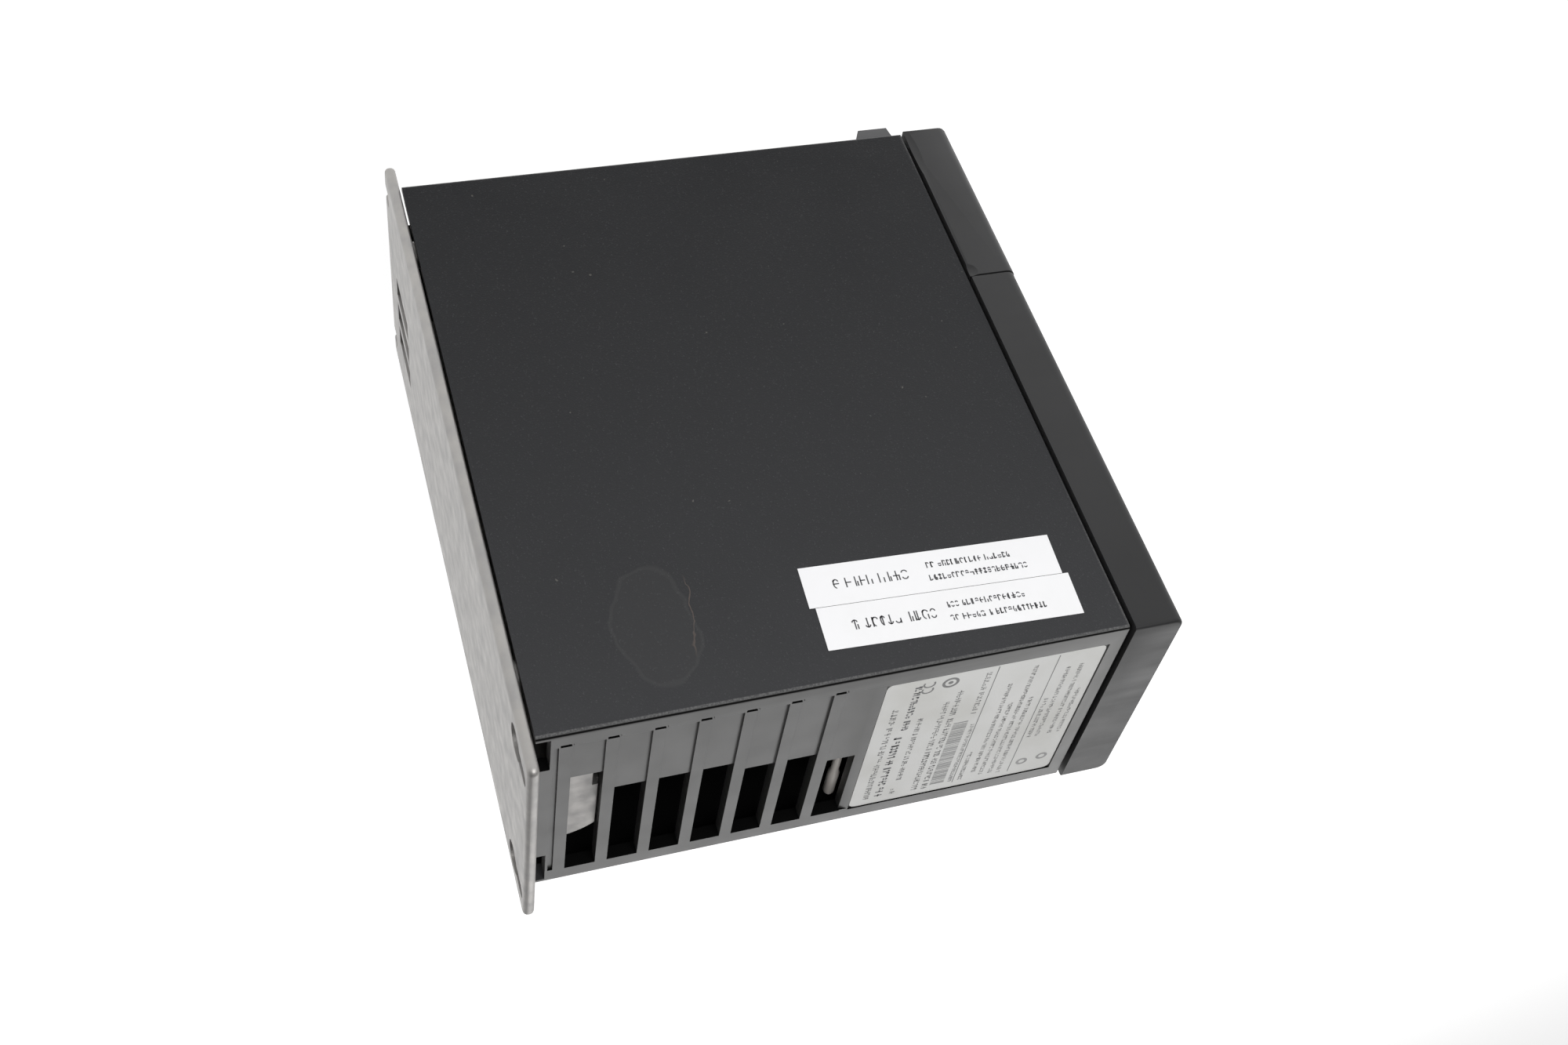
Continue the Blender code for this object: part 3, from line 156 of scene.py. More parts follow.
# ---- materials ----------------------------------------------------------------------------
class Finish:
    """One procedural material. Its patterns are laid out in the drive's own coordinates."""

    def __init__(self, name, colour, roughness, metallic=0.0, edge=0.0):
        """edge is the radius by which sharp edges look rounded."""
        self.material = bpy.data.materials.new(name)
        self.material.use_nodes = True
        self.tree = self.material.node_tree
        self.shader = self.tree.nodes["Principled BSDF"]
        self.set("Base Color", (*colour, 1.0))
        self.set("Roughness", roughness)
        self.set("Metallic", metallic)
        self.place = self.tree.nodes.new("ShaderNodeTexCoord").outputs["Object"]
        self.surface_normal = None
        if edge:
            self.surface_normal = self.node("ShaderNodeBevel", {"Radius": edge}, samples=6)
            self.set("Normal", self.surface_normal)

    def _give(self, socket, value):
        """Links a socket's output, or sets a plain value."""
        if isinstance(value, bpy.types.NodeSocket):
            self.tree.links.new(value, socket)
        else:
            socket.default_value = value

    def set(self, socket, value):
        self._give(self.shader.inputs[socket], value)

    def node(self, kind, inputs, output=0, **settings):
        """Adds a shader node and returns one of its outputs."""
        made = self.tree.nodes.new(kind)
        for setting, value in settings.items():
            setattr(made, setting, value)
        for key, value in inputs.items():
            self._give(made.inputs[key], value)
        return made.outputs[output]

    def math(self, operation, first, second=0.0):
        return self.node("ShaderNodeMath", {0: first, 1: second}, operation=operation)

    def times(self, first, *others):
        """The product of any number of values."""
        for other in others:
            first = self.math("MULTIPLY", first, other)
        return first

    def blend(self, factor, first, second):
        """A number between two others: the first where the factor is 0."""
        return self.node("ShaderNodeMix", {0: factor, 2: first, 3: second})

    def remap(self, value, low, high, to_low, to_high):
        """Stretches low..high to to_low..to_high, and stops at both ends."""
        inputs = {"Value": value, "From Min": low, "From Max": high, "To Min": to_low, "To Max": to_high}
        return self.node("ShaderNodeMapRange", inputs)

    def stretched(self, scale, centre=(0, 0, 0)):
        """Coordinates measured from a centre and multiplied by a scale for each axis."""
        moved = self.node("ShaderNodeVectorMath", {0: self.place, 1: centre}, operation="SUBTRACT")
        return self.node("ShaderNodeVectorMath", {0: moved, 1: scale}, operation="MULTIPLY")

    def noise(self, scale, detail, rough=0.5, place=None):
        inputs = {"Vector": place or self.place, "Scale": scale, "Detail": detail, "Roughness": rough}
        return self.node("ShaderNodeTexNoise", inputs)

    def cells(self, scale):
        """How far each point is from the middle of its own random cell."""
        return self.node("ShaderNodeTexVoronoi", {"Vector": self.place, "Scale": scale})

    def mix(self, factor, first, second):
        """A colour between two others: the first where the factor is 0."""
        made = self.tree.nodes.new("ShaderNodeMix")
        made.data_type = "RGBA"
        self._give(made.inputs[0], factor)
        for socket, colour in ((made.inputs[6], first), (made.inputs[7], second)):
            self._give(socket, colour if isinstance(colour, bpy.types.NodeSocket) else (*colour, 1.0))
        return made.outputs[2]

    def bump(self, height, distance, strength):
        """Adds relief. A second call adds to the first."""
        inputs = {"Height": height, "Distance": distance, "Strength": strength}
        if self.surface_normal is not None:
            inputs["Normal"] = self.surface_normal
        self.surface_normal = self.node("ShaderNodeBump", inputs)
        self.set("Normal", self.surface_normal)

    def facing(self, axis, kind="True Normal"):
        """How far the surface faces along one axis, either way: 1 is straight along it."""
        normal = self.node("ShaderNodeNewGeometry", {}, output=kind)
        parts = self.tree.nodes.new("ShaderNodeSeparateXYZ")
        self.tree.links.new(normal, parts.inputs[0])
        return self.math("ABSOLUTE", parts.outputs[axis])

    def coordinate(self, axis):
        parts = self.tree.nodes.new("ShaderNodeSeparateXYZ")
        self.tree.links.new(self.place, parts.inputs[0])
        return parts.outputs[axis]

    def between(self, axis, limit):
        """1 where the coordinate is nearer to the middle of the drive than the limit."""
        return self.math("LESS_THAN", self.math("ABSOLUTE", self.coordinate(axis)), limit)

    def patch(self, centre, radii, softness, wobble=0.0):
        """1 inside an ellipsoid and 0 outside it, with an edge that wanders by wobble."""
        scaled = self.stretched(tuple(1 / r for r in radii), centre)
        reach = self.node("ShaderNodeVectorMath", {0: scaled}, output="Value", operation="LENGTH")
        if wobble:
            shift = self.remap(self.noise(70, detail=2), 0.3, 0.7, -wobble, wobble)
            reach = self.math("ADD", reach, shift)
        return self.remap(reach, 1 - softness, 1, 1, 0)


# Marks on the right side wall: the outline of a removed sticker, and a scratch across it.
RESIDUE_CENTRE = (38.3 * MM, -38.5 * MM, 67.5 * MM)
RESIDUE_RADII = (20 * MM, 10.5 * MM, 16.5 * MM)
SCRATCH_CENTRE = (38.3 * MM, -46.8 * MM, 65.7 * MM)
SCRATCH_RADII = (10 * MM, 6 * MM, 12.5 * MM)
SCRATCH_TILT = -0.15

# The space inside the housing, behind its walls, where the plastic gets no light and is painted nearly black
# as shade.
INSIDE_X = 36.3 * MM
INSIDE_Z = 87.9 * MM
SLOT_WALL_X = 34 * MM


def body_plastic():
    """Charcoal plastic: a grain on the big sides, smooth satin on the ends, which are painted paler as lit
    faces, painted highlight and shade along the edges, and painted shade inside.
    """
    finish = Finish("body_plastic", (0.03, 0.03, 0.032), 0.5, edge=SOFT_EDGE)
    side = finish.remap(finish.facing(X), 0.55, 0.8, 0, 1)
    grain = finish.noise(2100, detail=3, rough=0.6)
    cloud = finish.noise(28, detail=4)
    painted_edge_highlight, painted_edge_shade = painted_edge_bands(finish)
    residue = finish.patch(RESIDUE_CENTRE, RESIDUE_RADII, 0.12, wobble=0.16)
    rim = finish.times(residue, finish.math("SUBTRACT", 1.0, residue))
    painted_inner_shade = unlit_inside(finish, side)

    # The ends are painted paler than the sides: painted light on one plastic.
    colour = finish.mix(side, end_colour(finish, cloud), side_colour(finish, side, grain, cloud))
    # Painted highlight along the edges, broken up by the grain, and painted shade beside it.
    painted_edge_highlight = finish.times(painted_edge_highlight, finish.remap(grain, 0.4, 0.6, 0.35, 1))
    colour = finish.mix(painted_edge_highlight, colour, (0.12, 0.12, 0.12))
    colour = finish.mix(painted_edge_shade, colour, (0.006, 0.006, 0.006))
    colour = finish.mix(finish.times(residue, 0.2), colour, (0.045, 0.045, 0.045))
    colour = finish.mix(finish.times(rim, 0.5), colour, (0.09, 0.09, 0.088))
    # Painted shade: nearly black inside the housing and on the walls of its slots.
    finish.set("Base Color", finish.mix(painted_inner_shade, colour, (0.004, 0.004, 0.004)))

    shine = finish.times(finish.blend(side, 0.36, 0.15), finish.remap(painted_edge_shade, 0, 1, 1, 0.15))
    finish.set("Specular IOR Level", finish.times(shine, finish.remap(painted_inner_shade, 0, 1, 1, 0.2)))
    rough_side = finish.remap(cloud, 0.3, 0.7, 0.5, 0.6)
    rough_end = finish.remap(finish.noise(90, detail=3), 0.3, 0.7, 0.3, 0.38)
    rough = finish.blend(side, rough_end, rough_side)
    finish.set("Roughness", finish.math("SUBTRACT", rough, finish.times(residue, 0.1)))
    relief = finish.math("ADD", grain, finish.times(finish.cells(2600), 0.4))
    finish.bump(finish.times(relief, side, finish.remap(residue, 0, 1, 1, 0.45)), 0.12 * MM, 0.7)
    finish.bump(finish.noise(900, detail=2), 0.01 * MM, 0.4)
    return finish.material


def side_colour(finish, side, grain, cloud):
    """The big sides: painted light makes them darker towards the bottom end and paler towards the top end,
    with glints in the grain, dust and one scratch.
    """
    pale = finish.mix(cloud, (0.031, 0.0315, 0.0335), (0.04, 0.0405, 0.043))
    # Painted light: the sides are shaded darker towards the bottom end and lit paler towards the top end.
    painted_light_towards_top = finish.remap(finish.coordinate(Z), -100 * MM, 90 * MM, 0, 1)
    colour = finish.mix(painted_light_towards_top, (0.0095, 0.01, 0.0115), pale)
    glints = finish.times(finish.remap(grain, 0.6, 0.74, 0, 0.35), side)
    colour = finish.mix(glints, colour, (0.1, 0.1, 0.105))
    dust = finish.remap(finish.noise(420, detail=1), 0.79, 0.81, 0, 0.35)
    colour = finish.mix(dust, colour, (0.2, 0.19, 0.17))
    reach = finish.patch(SCRATCH_CENTRE, SCRATCH_RADII, 0.3)
    return finish.mix(finish.times(scratch_line(finish), reach, 0.5), colour, (0.13, 0.1, 0.085))


def scratch_line(finish):
    """1 along a thin, wandering line through the scratch's centre, leaning slightly from upright."""
    wander = finish.remap(finish.noise(120, detail=3), 0.3, 0.7, -1.6 * MM, 1.6 * MM)
    rise = finish.math("SUBTRACT", finish.coordinate(Z), SCRATCH_CENTRE[Z])
    shift = finish.math("ADD", wander, finish.times(rise, SCRATCH_TILT))
    off_line = finish.math("ADD", finish.math("SUBTRACT", finish.coordinate(Y), SCRATCH_CENTRE[Y]), shift)
    return finish.remap(finish.math("ABSOLUTE", off_line), 0.1 * MM, 0.26 * MM, 1, 0)


def end_colour(finish, cloud):
    """The top and bottom ends: painted light makes them paler than the sides of the same plastic, and paler
    still towards the front.
    """
    colour = finish.mix(cloud, (0.04, 0.04, 0.039), (0.05, 0.049, 0.048))
    # Painted light: the ends grow paler towards the front.
    painted_light_towards_front = finish.remap(finish.coordinate(Y), -90 * MM, -155 * MM, 0, 1)
    return finish.mix(painted_light_towards_front, colour, (0.125, 0.125, 0.122))


def painted_edge_bands(finish):
    """Where an edge turns from a big side to an end: first a band of painted highlight and then a band of
    painted shade.
    """
    turn = finish.facing(X, "Normal")
    lit = finish.times(finish.remap(turn, 0.985, 0.95, 0, 1), finish.remap(turn, 0.66, 0.76, 0, 1))
    dark = finish.times(finish.remap(turn, 0.66, 0.58, 0, 1), finish.remap(turn, 0.12, 0.3, 0, 1))
    return lit, dark


def unlit_inside(finish, side):
    """1 on the inner faces of the housing and on the walls of its slots, where the plastic is painted dark
    as shade.
    """
    inside = finish.times(finish.between(X, INSIDE_X), finish.between(Z, INSIDE_Z))
    slot_wall = finish.times(finish.between(X, SLOT_WALL_X), finish.math("GREATER_THAN", side, 0.5))
    return finish.math("MAXIMUM", inside, slot_wall)


def cover_plastic(name, lift):
    """The covers' smoother charcoal plastic, wiped here and there. lift makes it paler."""
    finish = Finish(name, (0.035, 0.035, 0.036), 0.36, edge=0.12 * MM)
    finish.set("Specular IOR Level", 0.3)
    cloud = finish.noise(35, detail=4)
    low, high = 0.018 + lift, 0.028 + lift
    finish.set("Base Color", finish.mix(cloud, (low, low, low * 1.03), (high, high, high * 1.03)))
    wiped = finish.noise(1, detail=4, place=finish.stretched((160, 40, 90)))
    finish.set("Roughness", finish.remap(wiped, 0.3, 0.7, 0.34, 0.46))
    finish.bump(finish.noise(1500, detail=2), 0.02 * MM, 0.5)
    return finish.material


# The part of the casting that lies inside the housing, in front of the mounting plate, where it is painted
# darker as shade.
CASTING_INSIDE_X = 36.2 * MM
CASTING_INSIDE_Z = 90.8 * MM
CASTING_INSIDE_BACK = -3.3 * MM


def cast_aluminium():
    """Raw die casting: pale, streaked where the metal flowed, mottled, and painted darker inside as shade.
    """
    finish = Finish("cast_aluminium", (0.5, 0.49, 0.47), 0.45, 0.8, edge=0.2 * MM)
    flow = finish.noise(1, detail=5, rough=0.6, place=finish.stretched((120, 60, 14)))
    mottle = finish.noise(190, detail=4)
    colour = finish.mix(flow, (0.31, 0.3, 0.29), (0.46, 0.445, 0.425))
    colour = finish.mix(finish.remap(mottle, 0.35, 0.7, 0, 0.35), colour, (0.29, 0.295, 0.31))
    inside = finish.times(finish.between(Z, CASTING_INSIDE_Z), finish.between(X, CASTING_INSIDE_X))
    ahead = finish.math("LESS_THAN", finish.coordinate(Y), CASTING_INSIDE_BACK)
    # Painted shade: the casting is darker inside the housing, ahead of the mounting plate.
    finish.set("Base Color", finish.mix(finish.times(inside, ahead, 0.45), colour, (0.12, 0.115, 0.11)))
    finish.set("Roughness", finish.remap(mottle, 0.3, 0.7, 0.38, 0.55))
    finish.bump(mottle, 0.15 * MM, 0.35)
    finish.bump(finish.noise(1300, detail=2), 0.03 * MM, 0.5)
    return finish.material


def plain_plastic(name, light, dark, roughness=0.45, grain=900):
    """A moulded plastic with slight clouding and a fine surface."""
    finish = Finish(name, light, roughness, edge=SOFT_EDGE)
    finish.set("Base Color", finish.mix(finish.noise(70, detail=3), dark, light))
    smear = finish.noise(140, detail=3)
    finish.set("Roughness", finish.remap(smear, 0.3, 0.7, roughness - 0.07, roughness + 0.07))
    finish.bump(finish.noise(grain, detail=2), 0.02 * MM, 0.6)
    return finish.material


def paper(name, colour, stain):
    """Coated label paper, with faint cloudy stains."""
    finish = Finish(name, colour, 0.42)
    age = finish.noise(45, detail=4)
    finish.set("Base Color", finish.mix(finish.remap(age, 0.45, 0.75, 0, 0.5), colour, stain))
    finish.set("Roughness", finish.remap(age, 0.3, 0.7, 0.38, 0.5))
    finish.bump(finish.noise(500, detail=3), 0.01 * MM, 0.4)
    return finish.material


def circuit_board():
    """Green solder mask over copper tracks, which show as faint raised lines."""
    finish = Finish("board_green", (0.01, 0.1, 0.035), 0.3)
    tracks = finish.node("ShaderNodeTexBrick", {"Vector": finish.place, "Scale": 140.0}, output=1)
    cloud = finish.noise(300, detail=2)
    colour = finish.mix(finish.remap(cloud, 0.4, 0.6, 0, 0.6), (0.008, 0.085, 0.03), (0.02, 0.16, 0.06))
    finish.set("Base Color", finish.mix(finish.times(tracks, 0.5), colour, (0.03, 0.2, 0.09)))
    finish.set("Roughness", finish.remap(cloud, 0.3, 0.7, 0.25, 0.4))
    finish.bump(tracks, 0.04 * MM, 0.5)
    return finish.material


def metal(name, light, dark, roughness):
    """Bare metal with a fine brushed streak."""
    finish = Finish(name, light, roughness, 1.0)
    brush = finish.noise(1, detail=4, place=finish.stretched((900, 900, 200)))
    finish.set("Base Color", finish.mix(brush, dark, light))
    finish.set("Roughness", finish.remap(brush, 0.3, 0.7, roughness - 0.08, roughness + 0.1))
    finish.bump(brush, 0.02 * MM, 0.4)
    return finish.material


def clear_plastic(name, colour, clearness):
    """A tinted, glossy plastic that lets some light through."""
    finish = Finish(name, colour, 0.12)
    finish.set("Transmission Weight", clearness)
    smear = finish.noise(120, detail=3)
    finish.set("Roughness", finish.remap(smear, 0.3, 0.7, 0.08, 0.2))
    return finish.material


def windings():
    """Enamelled copper wire wound closely round a core."""
    finish = Finish("choke_copper", (0.5, 0.16, 0.05), 0.28, 0.9)
    turns = finish.cells(900)
    finish.set("Base Color", finish.mix(turns, (0.55, 0.2, 0.07), (0.25, 0.07, 0.02)))
    finish.bump(turns, 0.3 * MM, 0.6)
    return finish.material


FINISHES = {
    "body_plastic": body_plastic(),
    "cover_plastic": cover_plastic("cover_plastic", 0.0),
    "cast_aluminium": cast_aluminium(),
    "inner_plastic": plain_plastic("inner_plastic", (0.022, 0.022, 0.023), (0.014, 0.014, 0.015)),
    "plug_plastic": plain_plastic("plug_plastic", (0.085, 0.085, 0.088), (0.06, 0.06, 0.063)),
    "component_black": plain_plastic("component_black", (0.022, 0.022, 0.023), (0.013, 0.013, 0.014), 0.35),
    "key_plastic": plain_plastic("key_plastic", (0.3, 0.3, 0.31), (0.24, 0.24, 0.25), 0.5, 1400),
    "window_plastic": clear_plastic("window_plastic", (0.35, 0.1, 0.1), 0.85),
    "led_yellow": clear_plastic("led_yellow", (0.8, 0.55, 0.05), 0.5),
    "led_red": clear_plastic("led_red", (0.65, 0.02, 0.015), 0.5),
    "led_green": clear_plastic("led_green", (0.04, 0.5, 0.08), 0.5),
    "label_paper": paper("label_paper", (0.6, 0.6, 0.585), (0.48, 0.47, 0.425)),
    "board_green": circuit_board(),
    "connector_green": plain_plastic("connector_green", (0.02, 0.24, 0.09), (0.015, 0.17, 0.065), 0.42),
    "capacitor_sleeve": plain_plastic("capacitor_sleeve", (0.015, 0.03, 0.11), (0.01, 0.02, 0.07), 0.28),
    "choke_copper": windings(),
    "film_capacitor": plain_plastic("film_capacitor", (0.68, 0.62, 0.42), (0.6, 0.54, 0.36), 0.5),
    "steel": metal("steel", (0.6, 0.6, 0.61), (0.42, 0.42, 0.43), 0.32),
    "key_rubber": plain_plastic("key_rubber", (0.12, 0.12, 0.13), (0.09, 0.09, 0.1), 0.8),
    "thermal_rubber": plain_plastic("thermal_rubber", (0.5, 0.52, 0.5), (0.42, 0.44, 0.43), 0.8),
    "nylon": plain_plastic("nylon", (0.72, 0.68, 0.64), (0.62, 0.58, 0.54), 0.4),
    "switch_white": plain_plastic("switch_white", (0.75, 0.75, 0.74), (0.66, 0.66, 0.65), 0.4),
}
TERMINAL_COVER = cover_plastic("terminal_cover_plastic", 0.002)
TAG_PAPER = paper("tag_paper", (0.82, 0.82, 0.83), (0.76, 0.76, 0.76))
INK = plain_plastic("print_ink", (0.05, 0.05, 0.055), (0.08, 0.08, 0.085), 0.5)
WORN_INK = plain_plastic("worn_ink", (0.11, 0.11, 0.11), (0.17, 0.17, 0.17), 0.5)
FADED_INK = plain_plastic("faded_ink", (0.2, 0.2, 0.2), (0.3, 0.3, 0.295), 0.5)
SEGMENT = plain_plastic("display_segment", (0.5, 0.42, 0.4), (0.42, 0.35, 0.33), 0.3)
KEY_PRINT = plain_plastic("key_print", (0.75, 0.75, 0.75), (0.68, 0.68, 0.68), 0.5)


def dress_cad_nodes():
    """Gives every CAD node its finish, with smooth curved faces and sharp edges."""
    for part in frame["record"]["subparts"]:
        node = nodes[part["node"]]
        node.data.materials.clear()
        node.data.materials.append(FINISHES[part["material_slot"]])
        node.data.polygons.foreach_set("use_smooth", [True] * len(node.data.polygons))
        node.data.normals_split_custom_set([(0, 0, 0)] * len(node.data.loops))
        weld = node.modifiers.new("weld", "WELD")
        weld.merge_threshold = 0.002 * MM
        split = node.modifiers.new("split", "EDGE_SPLIT")
        split.split_angle = SHARP
    for name in ("asset_label_1", "asset_label_2"):
        nodes[name].data.materials[0] = TAG_PAPER
    nodes["terminal_cover"].data.materials[0] = TERMINAL_COVER


# ---- printed marks ------------------------------------------------------------------------
# Marks are lists of flat patches, and each patch lists its corners as (across, up) in millimetres.
LETTER_WIDTH = (0.46, 0.62)  # this and the two gaps are parts of the letter's height
LETTER_GAP = 0.15
WORD_GAP = 0.55
WORD_END_CHANCE = 0.16


def bar(low_u, low_v, high_u, high_v):
    return [(low_u, low_v), (high_u, low_v), (high_u, high_v), (low_u, high_v)]


def arc(u, v, inner, outer, start, end, steps):
    """Part of an oval stroke between two angles in degrees. inner and outer are its half sizes."""
    quads = []
    for step in range(steps):
        first = radians(start + (end - start) * step / steps)
        last = radians(start + (end - start) * (step + 1) / steps)
        corners = ((inner, first), (outer, first), (outer, last), (inner, last))
        quads.append([(u + half[0] * cos(angle), v + half[1] * sin(angle)) for half, angle in corners])
    return quads


def ring(u, v, inner, outer, start=0, end=360):
    return arc(u, v, (inner, inner), (outer, outer), start, end, 24)


def bow(low_u, low_v, high_u, high_v, line, start, end):
    """Part of an oval stroke that fills a box."""
    outer = ((high_u - low_u) / 2, (high_v - low_v) / 2)
    inner = (outer[0] - line, outer[1] - line)
    return arc((low_u + high_u) / 2, (low_v + high_v) / 2, inner, outer, start, end, 6)


def small_print(dice, start, end, base, height, weight=0.15):
    """Strokes that look like a line of small print and spell nothing."""
    quads = []
    u = start
    line = weight * height
    while u < end - 0.5 * height:
        wide = height * dice.uniform(*LETTER_WIDTH)
        left, right = u, u + wide
        middle, top = base + 0.5 * height, base + height
        strokes = [
            [bar(left, base, left + line, top)],
            [bar(right - line, base, right, middle)],
            bow(left, middle - line / 2, right, top, line, 0, 180),
            bow(left, base, right, middle + line / 2, line, 180, 360),
            bow(left, base, right, top, line, 90, 270),
            [bar(left, middle - line / 2, right, middle + line / 2)],
            [bar(left + wide / 2 - line / 2, base, left + wide / 2 + line / 2, top)],
        ]
        for stroke in dice.sample(strokes, dice.choice((2, 2, 3))):
            quads += stroke
        u += wide + height * (WORD_GAP if dice.random() < WORD_END_CHANCE else LETTER_GAP)
    return quads


def printed(name, quads, origin, across, up, finish, body="root"):
    """Lays flat ink on a surface, measured across and up from the origin."""
    shape = bmesh.new()
    for quad in quads:
        corners = [Vector(origin) + (Vector(across) * u + Vector(up) * v) * MM for u, v in quad]
        shape.faces.new([shape.verts.new(corner) for corner in corners])
    mesh = bpy.data.meshes.new(name)
    shape.to_mesh(mesh)
    shape.free()
    mesh.materials.append(finish)
    made = bpy.data.objects.new(name, mesh)
    bpy.context.scene.collection.objects.link(made)
    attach(made, body)


def print_nameplate():
    """Rows of marks, a bar pattern, two dividing lines and round marks, all spelling nothing.

    Each row has a start, an end and a base line, and some have their own height, in millimetres.
    """
    dice = random.Random(11)
    origin = (0, 0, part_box("rating_label")[1].z + INK_GAP)
    across, up = (1, 0, 0), (0, 1, 0)
    marks = []
    for start, end, base, tall in (
        (-29.4, 19.3, -96.2, 1.7),
        (-29.2, -26, -103.6, 1.5),
        (-21.5, 11.6, -104.2, 1.5),
        (-29.5, 17.8, -110.2, 1.7),
        (-30, 22, -113.2, 1.7),
        (8.3, 28.4, -119.3, 1.5),
        (-28.9, 2.4, -120.3, 1.1),
    ):
        marks += small_print(dice, start, end, base, tall)
    marks += [bar(-29.8, -120.9, 30.4, -120.65), bar(-30.2, -137.5, 30.2, -137.25)]
    marks += ring(28.2, -102.4, 1.2, 1.7, 60, 300) + ring(25.4, -102.4, 1.2, 1.7, 60, 300)
    marks += ring(27, -108.3, 1.5, 2.3) + ring(27, -108.3, 0, 0.7)
    printed("nameplate_print", marks, origin, across, up, WORN_INK)
    heavy = small_print(dice, -29, 3.3, -99.9, 2.2, 0.2) + small_print(dice, 6.5, 29, -100.7, 1.9, 0.2)
    printed("nameplate_heavy_print", heavy, origin, across, up, INK)
    faint = []
    for start, end, base in (
        (-29.3, -14, -123.4),
        (-26, 20.5, -126.8),
        (-28.3, 10.4, -129.4),
        (-28.8, 27.6, -132.3),
        (-29.4, 11, -134.9),
        (-11.6, 9.3, -139.8),
        (-12, 24, -142.2),
        (-11.6, 24, -145.8),
        (-11.7, 10.7, -148.4),
    ):
        faint += small_print(dice, start, end, base, 1.25, 0.2)
    faint += ring(-25.7, -140.6, 0.9, 1.7) + ring(-24.8, -146.4, 0.9, 1.7)
    faint += bar_pattern(dice, -28.6, 4.4, -118, -113.9)
    printed("nameplate_faint_print", faint, origin, across, up, FADED_INK)


def bar_pattern(dice, start, end, low_v, high_v):
    """Upright bars of uneven width, which hold no code."""
    quads = []
    u = start
    while u < end:
        wide = dice.choice((0.25, 0.25, 0.5, 0.75))
        quads.append(bar(u, low_v, u + wide, high_v))
        u += wide + dice.choice((0.2, 0.25, 0.45))
    return quads


def print_tags():
    """Each tag has one large row and two small rows of marks, placed by their distance from the wall."""
    dice = random.Random(5)
    tilt = Matrix.Rotation(-radians(2.2), 3, "X")
    across = tilt @ Vector((0, -1, 0))
    up = tilt @ Vector((0, 0, -1))
    for name, middle_z, large, upper, lower in (
        ("asset_label_1", 65.1, (83.9, 106), (108.9, 132.6), (108.7, 135.4)),
        ("asset_label_2", 77.55, (85, 107.3), (110, 131.4), (110, 137)),
    ):
        low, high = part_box(name)
        middle_y = (low.y + high.y) / 2
        origin = Vector((high.x + INK_GAP, middle_y, middle_z * MM))
        from_wall = -middle_y / MM
        quads = small_print(dice, large[0] - from_wall, large[1] - from_wall, -1.4, 2.9, 0.12)
        for row, base in ((upper, 1.0), (lower, -2.9)):
            quads += small_print(dice, row[0] - from_wall, row[1] - from_wall, base, 1.75, 0.18)
        printed(name + "_print", quads, origin, across, up, INK)


def print_front():
    """Signs on the keys, captions under the lamps, and the segments of the display."""
    signs = {
        "menu_key": [bar(-2, v, 2, v + 0.5) for v in (-1.5, -0.25, 1)],
        "plus_key": [bar(-2, -0.3, 2, 0.3), bar(-0.3, -2, 0.3, 2)],
        "minus_key": [bar(-2, -0.3, 2, 0.3)],
        "stop_key": ring(0, 0, 1.5, 2),
        "start_key": [[(-1.3, -1.8), (1.9, 0), (-1.3, 1.8)]],
        "change_data_key": ring(0, 0, 1.4, 1.9, 30, 150) + ring(0, 0, 1.4, 1.9, 210, 330),
    }
    across, up = (1, 0, 0), (0, 0, 1)
    for key, quads in signs.items():
        low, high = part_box(key)
        origin = ((low.x + high.x) / 2, low.y - INK_GAP, (low.z + high.z) / 2)
        printed(key + "_sign", quads, origin, across, up, KEY_PRINT, key)
    dice = random.Random(3)
    captions = []
    for lens in ("led_yellow", "led_red", "led_green"):
        low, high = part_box(lens)
        middle = (low.x + high.x) / 2 / MM
        captions += small_print(dice, middle - 4, middle + 4, low.z / MM - 2.6, 1.2)
    captions += [bar(-29, v, 29, v + 0.2) for v in (52.4, 40.6, -14.6)]
    panel = (0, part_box("control_panel")[0].y - INK_GAP, 0)
    printed("panel_captions", captions, panel, across, up, KEY_PRINT)
    display = (0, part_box("display_module")[0].y - INK_GAP, 0)
    printed("display_segments", digits(5), display, across, up, SEGMENT)


def digits(count):
    """All seven segments of each digit of the display."""
    first, pitch, wide, line = -19, 8, 4, 0.7
    quads = []
    for index in range(count):
        u = first + pitch * index
        quads += [bar(u, v, u + wide, v + line) for v in (59, 64.6, 70.3)]
        for side in (u - 0.9, u + wide + 0.2):
            quads += [bar(side, 59.8, side + line, 64.4), bar(side, 65.4, side + line, 70.1)]
    return quads


# ---- small parts --------------------------------------------------------------------------
def piece(name, shape, finish, body="root"):
    """Makes a shown piece of the bmesh, shaded smooth up to its sharp edges."""
    bmesh.ops.recalc_face_normals(shape, faces=shape.faces)
    mesh = bpy.data.meshes.new(name)
    shape.to_mesh(mesh)
    shape.free()
    mesh.shade_smooth()
    mesh.set_sharp_from_angle(angle=SHARP)
    mesh.materials.append(finish)
    made = bpy.data.objects.new(name, mesh)
    bpy.context.scene.collection.objects.link(made)
    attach(made, body)
    return made


def add_box(shape, low, high, soften=0.0):
    """Adds a box between two corners, in millimetres, with softened edges."""
    low, high = Vector(low) * MM, Vector(high) * MM
    matrix = Matrix.Translation((low + high) / 2) @ Matrix.Diagonal((*(high - low), 1))
    made = bmesh.ops.create_cube(shape, size=1, matrix=matrix)
    if soften:
        edges = dict.fromkeys(edge for vert in made["verts"] for edge in vert.link_edges)
        bmesh.ops.bevel(shape, geom=list(edges), offset=soften * MM, segments=2, profile=0.5, affect="EDGES")


def round_vert(shape, place, radius, angle, height):
    """A vertex given by its radius and angle about the local +Z axis, and its height."""
    return shape.verts.new(place @ Vector((radius * cos(angle), radius * sin(angle), height)))


